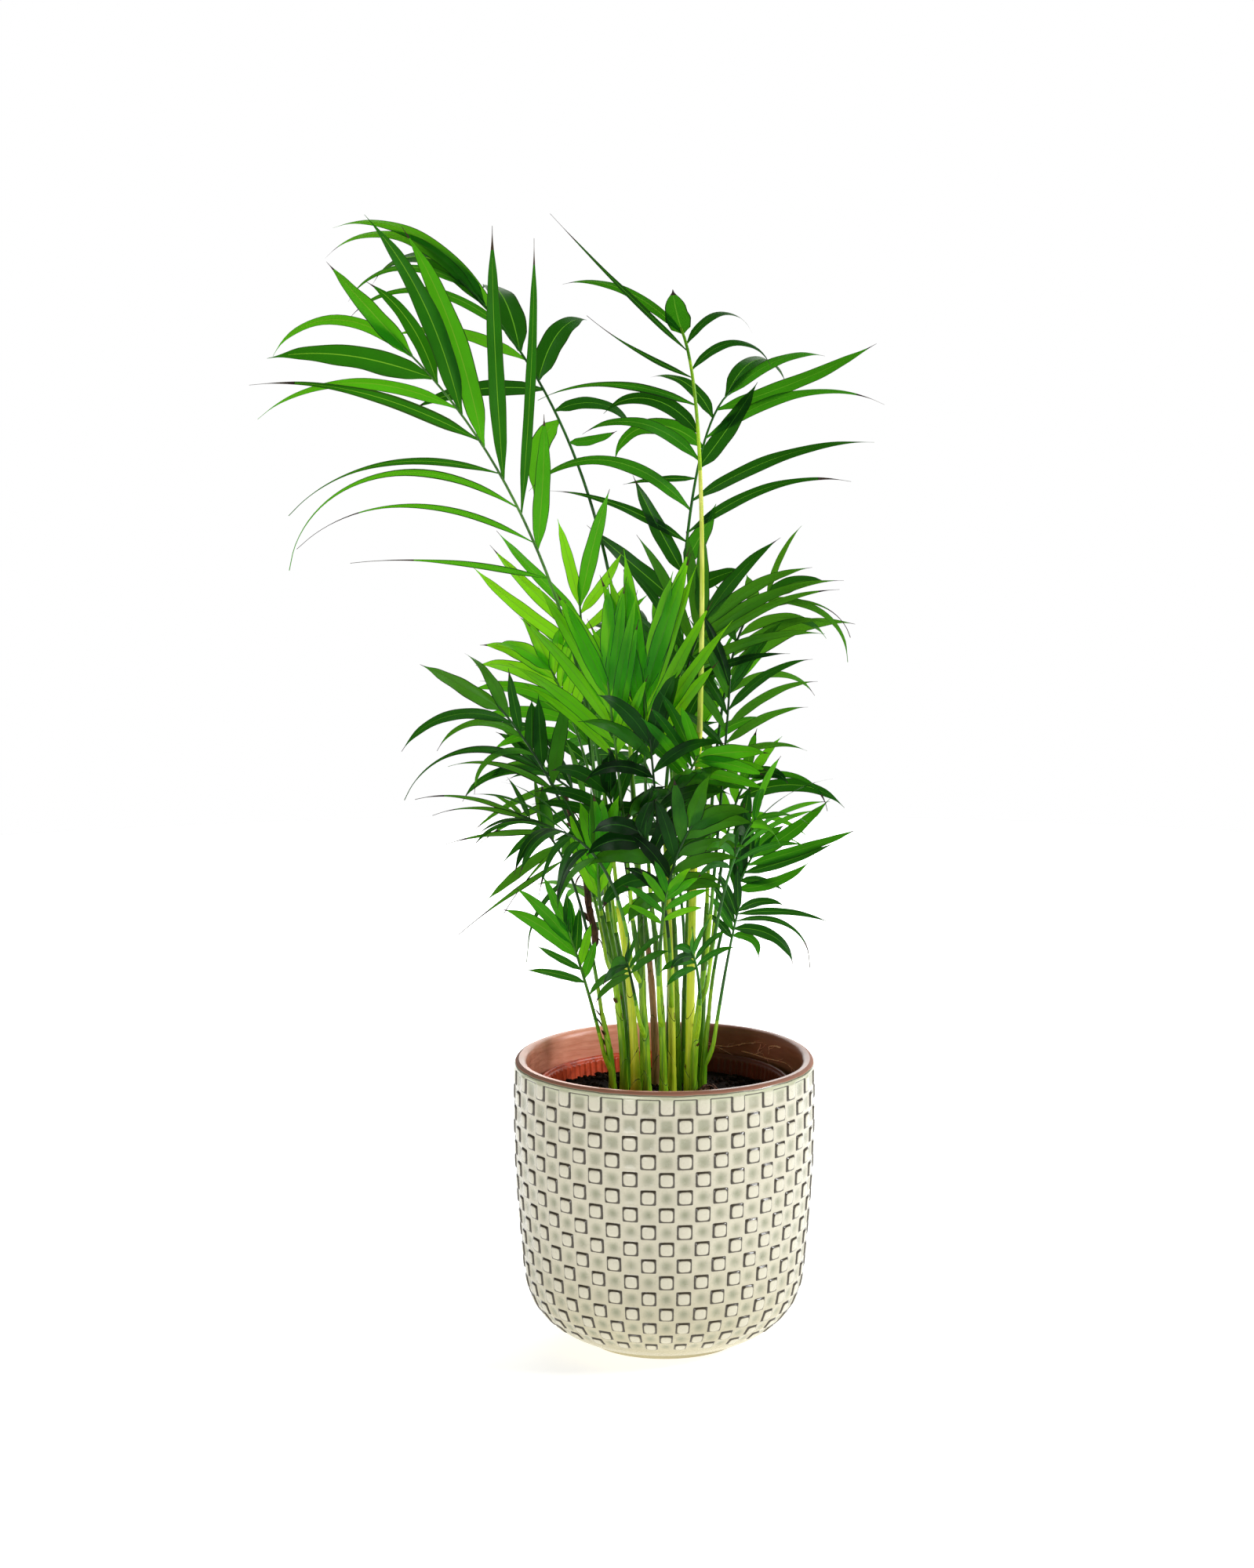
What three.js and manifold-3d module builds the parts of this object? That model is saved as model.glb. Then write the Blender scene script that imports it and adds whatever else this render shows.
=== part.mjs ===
// A young parlour palm in its cover pot.
// Millimetres, +Z up.  The origin is the centre of the planter's flat underside, and -Y is the front.
import * as THREE from 'three';
import { mergeVertices } from 'three/addons/utils/BufferGeometryUtils.js';
import Module from 'manifold-3d';

const wasm = await Module();
wasm.setup();

// ---------------------------------------------------------------- sizes
const GAP = 0.3;              // air between neighbouring pieces

const PLANTER_HEIGHT = 155;
const PLANTER_LIP = 80;       // outer radius at the lip
const PLANTER_BELLY = 80.5;   // widest outer radius
const PLANTER_FOOT = 40;      // radius of the flat underside
const PLANTER_BORE = 73;      // inner radius below the lip
const PLANTER_FLOOR = 9;      // height of the inner floor
const PLANTER_SIDES = 44;

const POT_RIM = 68;           // outer radius of the inner pot's rim
const POT_BASE = 48;
const POT_TOP = 141.5;
const POT_WALL = 1.2;
const POT_SIDES = 28;

const SOIL_TOP = 135.5;
const SOIL_EDGE = 133.5;

const STEM_SIDES = 5;
const STEM_BASE = 4.2;        // stem diameter at the soil
const STEM_TIP = 2.5;         // and where its petiole takes over
const PETIOLE = 2.2;          // petiole diameter at its foot
const RACHIS_TIP = 1.1;       // diameter of the rachis at the last leaflet
const BLADE_THICKNESS = 1.25;
const RACHIS_STEPS = 7;
const RACHIS_SIDES = 3;

// Each stem: foot on the soil, how far its top leans over, and its height.
const STEMS = {
  a: { foot: [-27.5, -7], lean: [-6, 0], height: 45 },
  b: { foot: [-15.5, -17], lean: [-9, -4], height: 105, girth: 1.2 },
  c: { foot: [-20, 10], lean: [-10, 8], height: 90 },
  d: { foot: [-11, -2], lean: [-7, 4], height: 180 },
  e: { foot: [-9, -25], lean: [-8, -4], height: 100 },
  f: { foot: [-4.5, 20], lean: [-9, 10], height: 110 },
  g: { foot: [4.2, -11], lean: [-4, 0], height: 140 },
  h: { foot: [3, 7], lean: [4, 4], height: 210 },
  i: { foot: [-0.5, -22], lean: [-7, -4], height: 110 },
  j: { foot: [11, 24], lean: [3, 10], height: 110 },
  k: { foot: [7, -4], lean: [-3.5, -2], height: 120 },
  l: { foot: [13.5, -6], lean: [4.5, -21], height: 203, girth: 1.2 },
  m: { foot: [15, -20], lean: [7, -4], height: 80 },
  n: { foot: [20.5, -11], lean: [3, -1], height: 45 },
  o: { foot: [20, 12], lean: [3, 6], height: 100 },
  p: { foot: [-18, 27], lean: [-8, 10], height: 80 },
  q: { foot: [-21.5, -13], lean: [-12, -3], height: 100 },
};

// An old dried stalk that still stands among the stems on the left.
const DEAD_STALK = { foot: [-37, 8, 214], knee: [-42, 6, 255], tip: [-53, 2, 300], width: 4.2 };

// Each frond: the stem it grows from and how far up, where its tip ends, which way its upper face
// looks [azimuth, elevation], how many pairs of leaflets it has and what share of it is bare.  Then,
// for the left and the right side, the leaflets' length, width, angle from the rachis and droop, each
// as values from the foot to the tip: two, three or one a leaflet.  A leaflet of length 0 is missing.
// girth thickens the stalk, and later moves the right side's leaflets up it.
const FRONDS = {
  crown_left: {
    stem: 'b', tip: [-134, -25, 534], bow: 0.65, face: [-90, 20], pairs: 8, bare: 0.56, later: 0.8,
    left: {
      leaf: [104, 130, 145, 118, 122, 107, 88, 83],
      wide: [4, 4, 4, 4.5, 7, 8, 13, 7],
      spread: [57, 37, 31, 46, 30, 28, 28, 2],
      droop: [20, 80, 125, 68, 36, 68, 35, 150],
    },
    right: {
      leaf: [71, 141, 133, 121, 114, 66, 64, 0],
      wide: [8.5, 5, 8.5, 12, 11, 9, 12, 9],
      spread: [28, 31, 25, 22, 22, 25, 4, 0],
      droop: [-60, -58, -60, 120, 116, 150, 0, 0],
    },
  },
  crown_left_back: {
    stem: 'd', tip: [-108, 40, 567], bow: 0.65, face: [-70, 20], pairs: 7, bare: 0.60,
    left: {
      leaf: [0, 43, 74, 73, 98, 87, 73],
      wide: [8, 10, 11, 7, 6, 12, 6],
      spread: [60, 105, 61, 31, 13, -12, 13],
      droop: [40, 150, 32, 50, 110, 165, 98],
    },
    right: {
      leaf: [29, 50, 60, 70, 130, 110, 0],
      wide: [6, 7, 13, 15, 9, 9, 8],
      spread: [105, 90, 43, 25, 10, 7, 0],
      droop: [-20, 92, 164, 170, 122, 140, 0],
    },
  },
  crown_right: {
    stem: 'l', tip: [8, -14, 544], bow: 0.85, face: [-85, 15], pairs: 6, bare: 0.66, girth: 1.4,
    left: {
      leaf: [69, 57, 83, 64, 103, 85],
      wide: [7, 10, 5, 3.5, 4, 7],
      spread: [40, 34, 61, 58, 34, 22],
      droop: [110, 165, 56, -16, -4, 62],
    },
    right: {
      leaf: [0, 0, 0, 60, 57, 26],
      wide: [5, 5, 5, 5.5, 4.5, 12],
      spread: [40, 40, 40, 45, 40, 1],
      droop: [60, 60, 60, 165, 170, -40],
    },
  },
  right_back: {
    stem: 'h', tip: [34, 35, 508], bow: 0.85, face: [-85, 20], pairs: 8, bare: 0.30,
    left: {
      leaf: [66, 60, 80, 101, 39, 60, 47, 73],
      wide: [9, 10, 5, 7, 4, 11, 8, 11],
      spread: [52, 35, 70, 52, 100, 55, 49, 16],
      droop: [0, -10, 38, 150, 14, 165, 170, 170],
    },
    right: {
      leaf: [36, 36, 93, 102, 56, 105, 94, 73],
      wide: [8, 9, 6, 7, 9, 7, 9, 6],
      spread: [50, 25, 46, 49, 25, 37, 43, 4],
      droop: [30, -10, 56, 38, -10, 74, -10, 56],
    },
  },
  middle: {
    stem: 'g', tip: [20, -8, 392], bow: 0.50, face: [-88, 15], pairs: 6, bare: 0.68, wide: [5, 7],
    left: { leaf: [45, 62, 50], spread: [55, 20], droop: [60, 50] },
    right: { leaf: [60, 82, 60], spread: [45, 15], droop: [40, 50] },
  },
  small_fan: {
    stem: 'c', tip: [-45, 0, 401], bow: 0.20, face: [-85, 10], pairs: 4, bare: 0.84,
    left: {
      leaf: [77, 71, 65, 48],
      wide: [7, 6.5, 7, 6],
      spread: [49, 43, 40, 7],
      droop: [-12, -10, -6, 8],
    },
    right: {
      leaf: [46, 38, 41, 67],
      wide: [5, 5, 5.5, 8],
      spread: [55, 58, 43, 16],
      droop: [-4, -40, -20, 38],
    },
  },

  right_mid: {
    stem: 'o', tip: [57, 25, 402], bow: 0.95, face: [-80, 25], pairs: 7, bare: 0.62,
    left: {
      leaf: [28, 34, 30, 32, 28, 20, 44],
      wide: [5, 5, 5, 5, 5, 8, 4],
      spread: [60, 55, 50, 45, 55, 60, 56],
      droop: [70, 70, 60, 60, 30, 0, 150],
    },
    right: {
      leaf: [58, 78, 56, 54, 63, 64, 34],
      wide: [4, 8, 5, 6, 2.8, 4, 9],
      spread: [40, 32, 31, 33, 28, 31, -14],
      droop: [120, 90, 80, 120, 120, 110, 60],
    },
  },

  centre_left: {
    stem: 'e', tip: [-30, -34, 362], bow: 0.50, face: [-95, 10], pairs: 6, bare: 0.68, wide: [6, 8],
    left: { leaf: [58, 76, 52], spread: [40, 12], droop: [30, 20] },
    right: { leaf: [48, 72, 55], spread: [24, 8], droop: [20, 15] },
  },
  centre_right: {
    stem: 'i', tip: [-11, -31, 360], bow: 0.50, face: [-88, 10], pairs: 7, bare: 0.66, wide: [7, 9],
    left: { leaf: [58, 80, 65], spread: [24, 7], droop: [15, 10] },
    right: { leaf: [60, 88, 65], spread: [32, 8], droop: [20, 12] },
  },
  left_mid: {
    stem: 'c', at: 0.8, tip: [-87, -10, 346], bow: 0.55, face: [-95, 30], pairs: 6, bare: 0.62,
    left: {
      leaf: [66, 96, 50, 60, 71, 59],
      wide: [4, 5, 3.5, 4, 6, 8],
      spread: [26, 24, 30, 16, 25, 16],
      droop: [60, 125, 140, 120, 80, 8],
    },
    right: {
      leaf: [52, 40, 28, 37, 49, 0],
      wide: [8, 8, 7, 6, 8, 6],
      spread: [34, 25, 34, 22, 19, 20],
      droop: [56, -40, -40, -20, 92, 40],
    },
  },

  left_back: {
    stem: 'f', tip: [-68, 25, 309], bow: 0.35, face: [-95, 35], pairs: 6, bare: 0.50,
    left: {
      leaf: [78, 64, 66, 60, 54, 30],
      wide: [3.5, 5, 4, 4, 5, 6],
      spread: [76, 62, 56, 50, 15, 20],
      droop: [30, 30, 20, 30, 80, 60],
    },
    right: { leaf: [30, 38, 30], wide: [4, 6], spread: [50, 20], droop: [70, 60] },
  },

  left_low: {
    stem: 'a', tip: [-76, -25, 291], bow: 0.85, face: [-95, 40], pairs: 6, bare: 0.62,
    left: {
      leaf: [55, 68, 50, 64, 65, 64],
      wide: [3, 3, 6, 3.5, 4, 4],
      spread: [105, 92, 84, 42, 8, -12],
      droop: [80, 10, 10, 16, 40, 40],
    },
    right: {
      leaf: [30, 30, 32, 30, 26, 20],
      wide: [5, 5, 7, 5, 4, 4],
      spread: [50, 50, 20, 40, 50, 40],
      droop: [60, 60, -20, 60, 60, 60],
    },
  },

  left_lowest: {
    stem: 'a', at: 0.6, tip: [-50, -40, 231], bow: 0.35, face: [-90, 15], pairs: 5, bare: 0.54,
    left: {
      leaf: [36, 34, 66, 60, 46],
      wide: [4, 4, 7, 6, 6],
      spread: [44, 36, 20, 15, 3],
      droop: [20, 0, 34, 20, 4],
    },
    right: { leaf: [28, 34, 34], wide: [5, 6], spread: [30, 8], droop: [20, 15] },
  },

  right_bright: {
    stem: 'k', tip: [17, -35, 324], bow: 0.50, face: [-85, 20], pairs: 5, bare: 0.75, wide: [6, 8],
    left: { leaf: [40, 50, 40], spread: [60, 30], droop: [20, 20] },
    right: { leaf: [35, 48, 44], spread: [60, 40], droop: [20, 20] },
  },
  right_low: {
    stem: 'n', tip: [48, 0, 267], bow: 0.60, face: [-75, 25], pairs: 6, bare: 0.74,
    left: {
      leaf: [60, 44, 26, 24, 22, 18],
      wide: [11, 8, 5, 5, 4, 4],
      spread: [16, 20, 40, 40, 30, 20],
      droop: [60, 0, 40, 40, 30, 30],
    },
    right: {
      leaf: [42, 26, 52, 64, 52, 24],
      wide: [6.5, 5, 6, 6, 8, 6],
      spread: [64, 56, 49, 46, 28, 4],
      droop: [-40, 50, -10, -6, -16, 50],
    },
  },

  right_lowest: {
    stem: 'n', at: 0.7, tip: [39, -15, 239], bow: 0.70, face: [-75, 25], pairs: 5, bare: 0.78,
    left: { leaf: [22, 30, 24], wide: [4, 5], spread: [50, 20], droop: [50, 30] },
    right: {
      leaf: [22, 40, 55, 52, 26],
      wide: [5, 6.5, 3, 4, 5],
      spread: [67, 73, 60, 68, 40],
      droop: [130, 80, 110, 32, 80],
    },
  },

  left_inner: {
    stem: 'p', tip: [-61, 10, 365], bow: 0.60, face: [-90, 20], pairs: 6, bare: 0.70, wide: [7, 8],
    left: { leaf: [55, 62, 50], spread: [50, 15], droop: [50, 40] },
    right: { leaf: [45, 55, 50], spread: [40, 10], droop: [50, 40] },
  },
  centre_back: {
    stem: 'j', tip: [4, 50, 350], bow: 0.60, face: [-90, 10], pairs: 6, bare: 0.68, wide: [7, 9],
    left: { leaf: [50, 62, 50], spread: [50, 15], droop: [40, 40] },
    right: { leaf: [45, 60, 50], spread: [45, 10], droop: [40, 40] },
  },
  right_inner: {
    stem: 'm', tip: [34, -15, 360], bow: 0.65, face: [-80, 30], pairs: 6, bare: 0.70, wide: [4, 6],
    left: { leaf: [35, 50, 40], spread: [50, 15], droop: [60, 60] },
    right: { leaf: [45, 52, 45], spread: [55, 15], droop: [60, 60] },
  },
  right_wing: {
    stem: 'o', at: 0.8, tip: [46, 15, 306], bow: 0.80, face: [-80, 30], pairs: 5, bare: 0.62,
    left: { leaf: [28, 36, 30], wide: [5, 6], spread: [45, 10], droop: [40, 30] },
    right: {
      leaf: [49, 46, 62, 54, 24],
      wide: [3, 3.5, 7, 3.5, 7],
      spread: [70, 70, 42, 30, 19],
      droop: [50, 50, 80, 120, 100],
    },
  },

  centre_low_left: {
    stem: 'd', at: 0.5, tip: [-30, -25, 303], bow: 0.60, face: [-95, 20], pairs: 5, bare: 0.60,
    wide: [6, 8],
    left: { leaf: [40, 55, 50], spread: [50, 20], droop: [60, 60] },
    right: { leaf: [35, 50, 45], spread: [45, 15], droop: [60, 60] },
  },
  centre_low_right: {
    stem: 'h', at: 0.5, tip: [3, -22, 301], bow: 0.60, face: [-85, 20], pairs: 5, bare: 0.60,
    wide: [7, 9],
    left: { leaf: [40, 50, 50], spread: [50, 20], droop: [60, 60] },
    right: { leaf: [35, 55, 45], spread: [50, 15], droop: [60, 60] },
  },
  low_front_left: {
    stem: 'e', at: 0.5, tip: [-20, -48, 217], bow: 0.50, face: [-90, 40], pairs: 4, bare: 0.70,
    wide: [4, 5],
    left: { leaf: [25, 30, 24], spread: [65, 20], droop: [60, 60] },
    right: { leaf: [25, 30, 24], spread: [65, 20], droop: [60, 60] },
  },
  low_front_right: {
    stem: 'm', at: 0.6, tip: [14, -45, 222], bow: 0.50, face: [-90, 40], pairs: 4, bare: 0.70,
    wide: [4, 5],
    left: { leaf: [22, 26, 22], spread: [60, 20], droop: [60, 60] },
    right: { leaf: [22, 26, 22], spread: [60, 20], droop: [60, 60] },
  },
  low_centre: {
    stem: 'i', at: 0.5, tip: [1, -48, 254], bow: 0.50, face: [-90, 20], pairs: 4, bare: 0.70,
    wide: [4, 5],
    left: { leaf: [24, 30, 26], spread: [50, 20], droop: [30, 30] },
    right: { leaf: [24, 30, 26], spread: [50, 20], droop: [30, 30] },
  },
  left_front: {
    stem: 'e', at: 0.8, tip: [-58, -72, 292], bow: 0.65, face: [-110, 45], pairs: 6, bare: 0.62,
    wide: [3.5, 5],
    left: { leaf: [40, 55, 48], spread: [50, 15], droop: [70, 70] },
    right: { leaf: [40, 55, 48], spread: [50, 15], droop: [70, 70] },
  },
  right_front: {
    stem: 'm', at: 0.85, tip: [46, -66, 296], bow: 0.65, face: [-60, 40], pairs: 6, bare: 0.62,
    wide: [3.5, 5],
    left: { leaf: [38, 50, 42], spread: [50, 15], droop: [60, 60] },
    right: { leaf: [42, 56, 48], spread: [50, 15], droop: [60, 60] },
  },
  middle_back: {
    stem: 'h', at: 0.7, tip: [-10, 56, 370], bow: 0.60, face: [-80, 20], pairs: 5, bare: 0.70,
    wide: [5, 7],
    left: { leaf: [42, 56, 50], spread: [50, 15], droop: [60, 60] },
    right: { leaf: [38, 52, 50], spread: [45, 15], droop: [60, 60] },
  },
  centre_dark: {
    stem: 'g', at: 0.6, tip: [-8, -34, 332], bow: 0.55, face: [-90, 20], pairs: 5, bare: 0.62,
    wide: [6, 8],
    left: { leaf: [42, 56, 48], spread: [55, 20], droop: [80, 70] },
    right: { leaf: [42, 56, 48], spread: [55, 20], droop: [80, 70] },
  },
  back_high: {
    stem: 'f', at: 0.8, tip: [-18, 90, 340], bow: 0.70, face: [75, 30], pairs: 7, bare: 0.62,
    wide: [7, 9],
    left: { leaf: [55, 75, 60], spread: [55, 15], droop: [70, 70] },
    right: { leaf: [55, 75, 60], spread: [55, 15], droop: [70, 70] },
  },
  back_left: {
    stem: 'p', at: 0.7, tip: [-46, 100, 340], bow: 0.70, face: [110, 40], pairs: 6, bare: 0.60,
    wide: [6, 8],
    left: { leaf: [50, 70, 55], spread: [55, 15], droop: [70, 70] },
    right: { leaf: [50, 70, 55], spread: [55, 15], droop: [70, 70] },
  },
  back_right: {
    stem: 'j', at: 0.8, tip: [24, 100, 354], bow: 0.70, face: [60, 40], pairs: 6, bare: 0.60,
    wide: [6, 8],
    left: { leaf: [50, 68, 55], spread: [55, 15], droop: [70, 70] },
    right: { leaf: [50, 68, 55], spread: [55, 15], droop: [70, 70] },
  },
  back_low: {
    stem: 'j', at: 0.5, tip: [-2, 80, 265], bow: 0.70, face: [85, 45], pairs: 6, bare: 0.60,
    wide: [5, 7],
    left: { leaf: [40, 52, 44], spread: [55, 15], droop: [70, 70] },
    right: { leaf: [40, 52, 44], spread: [55, 15], droop: [70, 70] },
  },
  back_lowest: {
    stem: 'p', at: 0.5, tip: [-37, 75, 230], bow: 0.70, face: [100, 45], pairs: 5, bare: 0.60,
    wide: [5, 7],
    left: { leaf: [35, 46, 40], spread: [55, 15], droop: [70, 70] },
    right: { leaf: [35, 46, 40], spread: [55, 15], droop: [70, 70] },
  },
  left_spear: {
    stem: 'q', tip: [-35, -26, 270], bow: 0.50, face: [-95, 10], pairs: 4, bare: 0.25, wide: [8, 9],
    left: { leaf: [42, 46, 40], spread: [17, 6], droop: [10, 6] },
    right: { leaf: [42, 48, 40], spread: [15, 6], droop: [10, 6] },
  },
  inner_left: {
    stem: 'g', at: 0.45, tip: [-14, -43, 286], bow: 0.60, face: [-92, 25], pairs: 5, bare: 0.50,
    wide: [8, 10],
    left: { leaf: [34, 44, 38], spread: [55, 20], droop: [80, 70] },
    right: { leaf: [34, 44, 38], spread: [55, 20], droop: [80, 70] },
  },
  inner_right: {
    stem: 'i', at: 0.65, tip: [13, -46, 288], bow: 0.60, face: [-88, 25], pairs: 5, bare: 0.50,
    wide: [7, 9],
    left: { leaf: [32, 42, 36], spread: [50, 15], droop: [60, 60] },
    right: { leaf: [34, 44, 38], spread: [50, 15], droop: [50, 50] },
  },
};

// ---------------------------------------------------------------- small helpers
const UP = new THREE.Vector3(0, 0, 1);
const DOWN = new THREE.Vector3(0, 0, -1);
const rad = THREE.MathUtils.degToRad;

// A repeatable number from -1 to 1 for frond i, leaflet j and use k.
function wobble(i, j, k) {
  const s = Math.sin(i * 12.9898 + j * 78.233 + k * 37.719) * 43758.5453;
  return 2 * (s - Math.floor(s)) - 1;
}

// Reads a pair of end values at share q.
function between([first, last], q) {
  return first + (last - first) * q;
}

// Reads a row of values, spaced evenly from the foot to the tip, at share q.
function through(values, q) {
  if (values.length === 3) {
    const [foot, middle, tip] = values;
    return foot * (1 - q) * (1 - 2 * q) + 4 * middle * q * (1 - q) + tip * q * (2 * q - 1);
  }
  const place = q * (values.length - 1);
  const k = Math.min(values.length - 2, Math.floor(place + 1e-6));
  return between([values[k], values[k + 1]], place - k);
}

// The part of v that is square to axis, at unit length.
function square(v, axis) {
  return v.clone().addScaledVector(axis, -v.dot(axis)).normalize();
}

function closed(geometry) {
  geometry.deleteAttribute('normal');
  geometry.deleteAttribute('uv');
  return mergeVertices(geometry, 1e-4);
}

function toSolid(geometry) {
  const merged = closed(geometry);
  return new wasm.Manifold(new wasm.Mesh({
    numProp: 3,
    vertProperties: new Float32Array(merged.attributes.position.array),
    triVerts: new Uint32Array(merged.index.array),
  }));
}

function toGeometry(solid) {
  const mesh = solid.getMesh();
  const geometry = new THREE.BufferGeometry();
  geometry.setAttribute('position', new THREE.BufferAttribute(Float32Array.from(mesh.vertProperties), 3));
  geometry.setIndex(new THREE.BufferAttribute(Uint32Array.from(mesh.triVerts), 1));
  return geometry;
}

function boxOf(geometry) {
  geometry.computeBoundingBox();
  return geometry.boundingBox;
}

// ---------------------------------------------------------------- limbs and blades
// A tapering limb along a curve: a round section pushed along it, then drawn in about its centre line.
function limb(curve, sides, steps, radiusAt) {
  const section = new THREE.Shape();
  for (let i = 0; i < sides; i += 1) {
    const a = 2 * Math.PI * i / sides;
    section[i ? 'lineTo' : 'moveTo'](Math.cos(a), Math.sin(a));
  }
  const geometry = new THREE.ExtrudeGeometry(section, { steps, bevelEnabled: false, extrudePath: curve });
  const centres = curve.getSpacedPoints(steps);
  const position = geometry.attributes.position;
  const point = new THREE.Vector3();
  for (let i = 0; i < position.count; i += 1) {
    point.fromBufferAttribute(position, i);
    let k = 0;
    for (let j = 1; j <= steps; j += 1) {
      if (point.distanceToSquared(centres[j]) < point.distanceToSquared(centres[k])) {
        k = j;
      }
    }
    point.sub(centres[k]).multiplyScalar(radiusAt(k / steps)).add(centres[k]);
    position.setXYZ(i, point.x, point.y, point.z);
  }
  return geometry;
}

// Share of a leaflet's full width at share s of its length.
function outline(s) {
  const reach = s < 0.36 ? 0.46 : 0.66;
  return Math.max(0, 1 - ((s - 0.36) / reach) ** 2) ** 0.9;
}

// The midline of a leaflet: it sets off along `heading` and turns towards the ground as it goes out.
function midline(start, heading, droop, length, steps) {
  const fall = DOWN.clone().addScaledVector(heading, -DOWN.dot(heading));
  const slope = fall.length();
  fall.normalize();
  const most = Math.max(0, heading.angleTo(DOWN) - 0.1);
  const points = [start.clone()];
  const ways = [heading.clone()];
  for (let i = 1; i <= steps; i += 1) {
    const angle = Math.min(droop * slope * (i / steps) ** 1.5, most);
    const way = heading.clone().multiplyScalar(Math.cos(angle)).addScaledVector(fall, Math.sin(angle));
    points.push(points[i - 1].clone().addScaledVector(way, length / steps));
    ways.push(way);
  }
  return { points, ways };
}

// A leaflet: a flat-topped blade with a keel under its midrib, from a pointed root to a pointed tip.
function blade(line, face, width, thickness, spans) {
  const fine = line.points.length - 1;
  const rings = [];
  for (let i = 1; i < spans; i += 1) {
    const k = Math.round(i / spans * fine * (spans === 2 ? 0.8 : 0.92));
    const s = k / fine;
    const way = line.ways[k];
    const lean = 0.10 + 0.5 * s;
    const top = square(face.clone().multiplyScalar(1 - lean).addScaledVector(UP, lean), way);
    const across = new THREE.Vector3().crossVectors(way, top);
    const half = width * outline(s) / 2;
    const centre = line.points[k];
    rings.push([
      centre.clone().addScaledVector(across, half).addScaledVector(top, thickness * 0.3),
      centre.clone().addScaledVector(across, -half).addScaledVector(top, thickness * 0.3),
      centre.clone().addScaledVector(top, -thickness * 0.7),
    ]);
  }
  const positions = [];
  const facet = (a, b, c) => positions.push(...a.toArray(), ...b.toArray(), ...c.toArray());
  const root = line.points[0];
  const tip = line.points[fine];
  const last = rings[rings.length - 1];
  for (let j = 0; j < 3; j += 1) {
    const n = (j + 1) % 3;
    facet(root, rings[0][j], rings[0][n]);
    for (let i = 0; i + 1 < rings.length; i += 1) {
      facet(rings[i][j], rings[i + 1][j], rings[i + 1][n]);
      facet(rings[i][j], rings[i + 1][n], rings[i][n]);
    }
    facet(last[j], tip, last[n]);
  }
  const geometry = new THREE.BufferGeometry();
  geometry.setAttribute('position', new THREE.Float32BufferAttribute(positions, 3));
  return geometry;
}

// Long leaflets bend in more places than short ones.
function spansFor(length) {
  if (length > 95) {
    return 4;
  }
  return length > 52 ? 3 : 2;
}

// ---------------------------------------------------------------- room to grow
// Everything that already stands in the plant's space.
const standing = [];

function stand(owner, geometry) {
  const merged = closed(geometry);
  standing.push({ owner, box: boxOf(merged), solid: toSolid(merged) });
}

// True when the given berth meets nothing that belongs to another piece.
function isFree(owner, geometry) {
  const merged = closed(geometry);
  const box = boxOf(merged);
  let solid = null;
  for (const other of standing) {
    if (other.owner !== owner && other.box.intersectsBox(box)) {
      solid = solid || toSolid(merged);
      if (!solid.intersect(other.solid).isEmpty()) {
        return false;
      }
    }
  }
  return true;
}

// ---------------------------------------------------------------- stems
function stemLine({ foot, lean, height }) {
  const low = new THREE.Vector3(foot[0], foot[1], SOIL_TOP + GAP);
  const high = low.clone().add(new THREE.Vector3(lean[0], lean[1], height));
  return { low, high, axis: high.clone().sub(low).normalize() };
}

function stemRadius(stem, share) {
  const girth = stem.girth || 1;
  const flare = Math.max(0, 1 - share * 9) * 0.7;
  return girth * (between([STEM_BASE, STEM_TIP], share) / 2 + flare);
}

// A stem: upright at the soil, with a flat cut foot, leaning out as it rises.
function stemGeometry(stem, margin) {
  const { low, high } = stemLine(stem);
  const knee = low.clone().add(new THREE.Vector3(0, 0, (high.z - low.z) * 0.5));
  const curve = new THREE.QuadraticBezierCurve3(low, knee, high);
  return limb(curve, STEM_SIDES, 4, (share) => stemRadius(stem, share) + margin);
}

// ---------------------------------------------------------------- fronds
// The curve of a frond's petiole and rachis, from beside or above its stem to its tip.
function rachisCurve(frond, shift, spin) {
  const stem = STEMS[frond.stem];
  const { low, high, axis } = stemLine(stem);
  const tip = new THREE.Vector3(...frond.tip);
  const share = frond.at || 1;
  const start = low.clone().lerp(high, share);
  const out = tip.clone().sub(start).setZ(0).normalize().applyAxisAngle(UP, rad(spin));
  if (share < 1) {
    start.addScaledVector(out, stemRadius(stem, share) + PETIOLE / 2 + 1.2);
  } else {
    start.addScaledVector(axis, GAP + 0.3);
  }
  const knee = start.clone().addScaledVector(axis, tip.distanceTo(start) * frond.bow);
  knee.addScaledVector(out, share < 1 ? 4 : 0);
  knee.add(shift);
  return new THREE.QuadraticBezierCurve3(start, knee, tip);
}

// The point at the given share of a rachis's length, on the straight chords that its limb is made of.
function onChord(curve, share) {
  const centres = curve.getSpacedPoints(RACHIS_STEPS);
  const k = Math.min(RACHIS_STEPS - 1, Math.floor(share * RACHIS_STEPS));
  return centres[k].clone().lerp(centres[k + 1], share * RACHIS_STEPS - k);
}

function rachisRadius(frond, share) {
  return (frond.girth || 1) * between([PETIOLE, RACHIS_TIP], share) / 2;
}

function rachisLimb(frond, curve) {
  return limb(curve, RACHIS_SIDES, RACHIS_STEPS, (share) => rachisRadius(frond, share));
}

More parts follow.
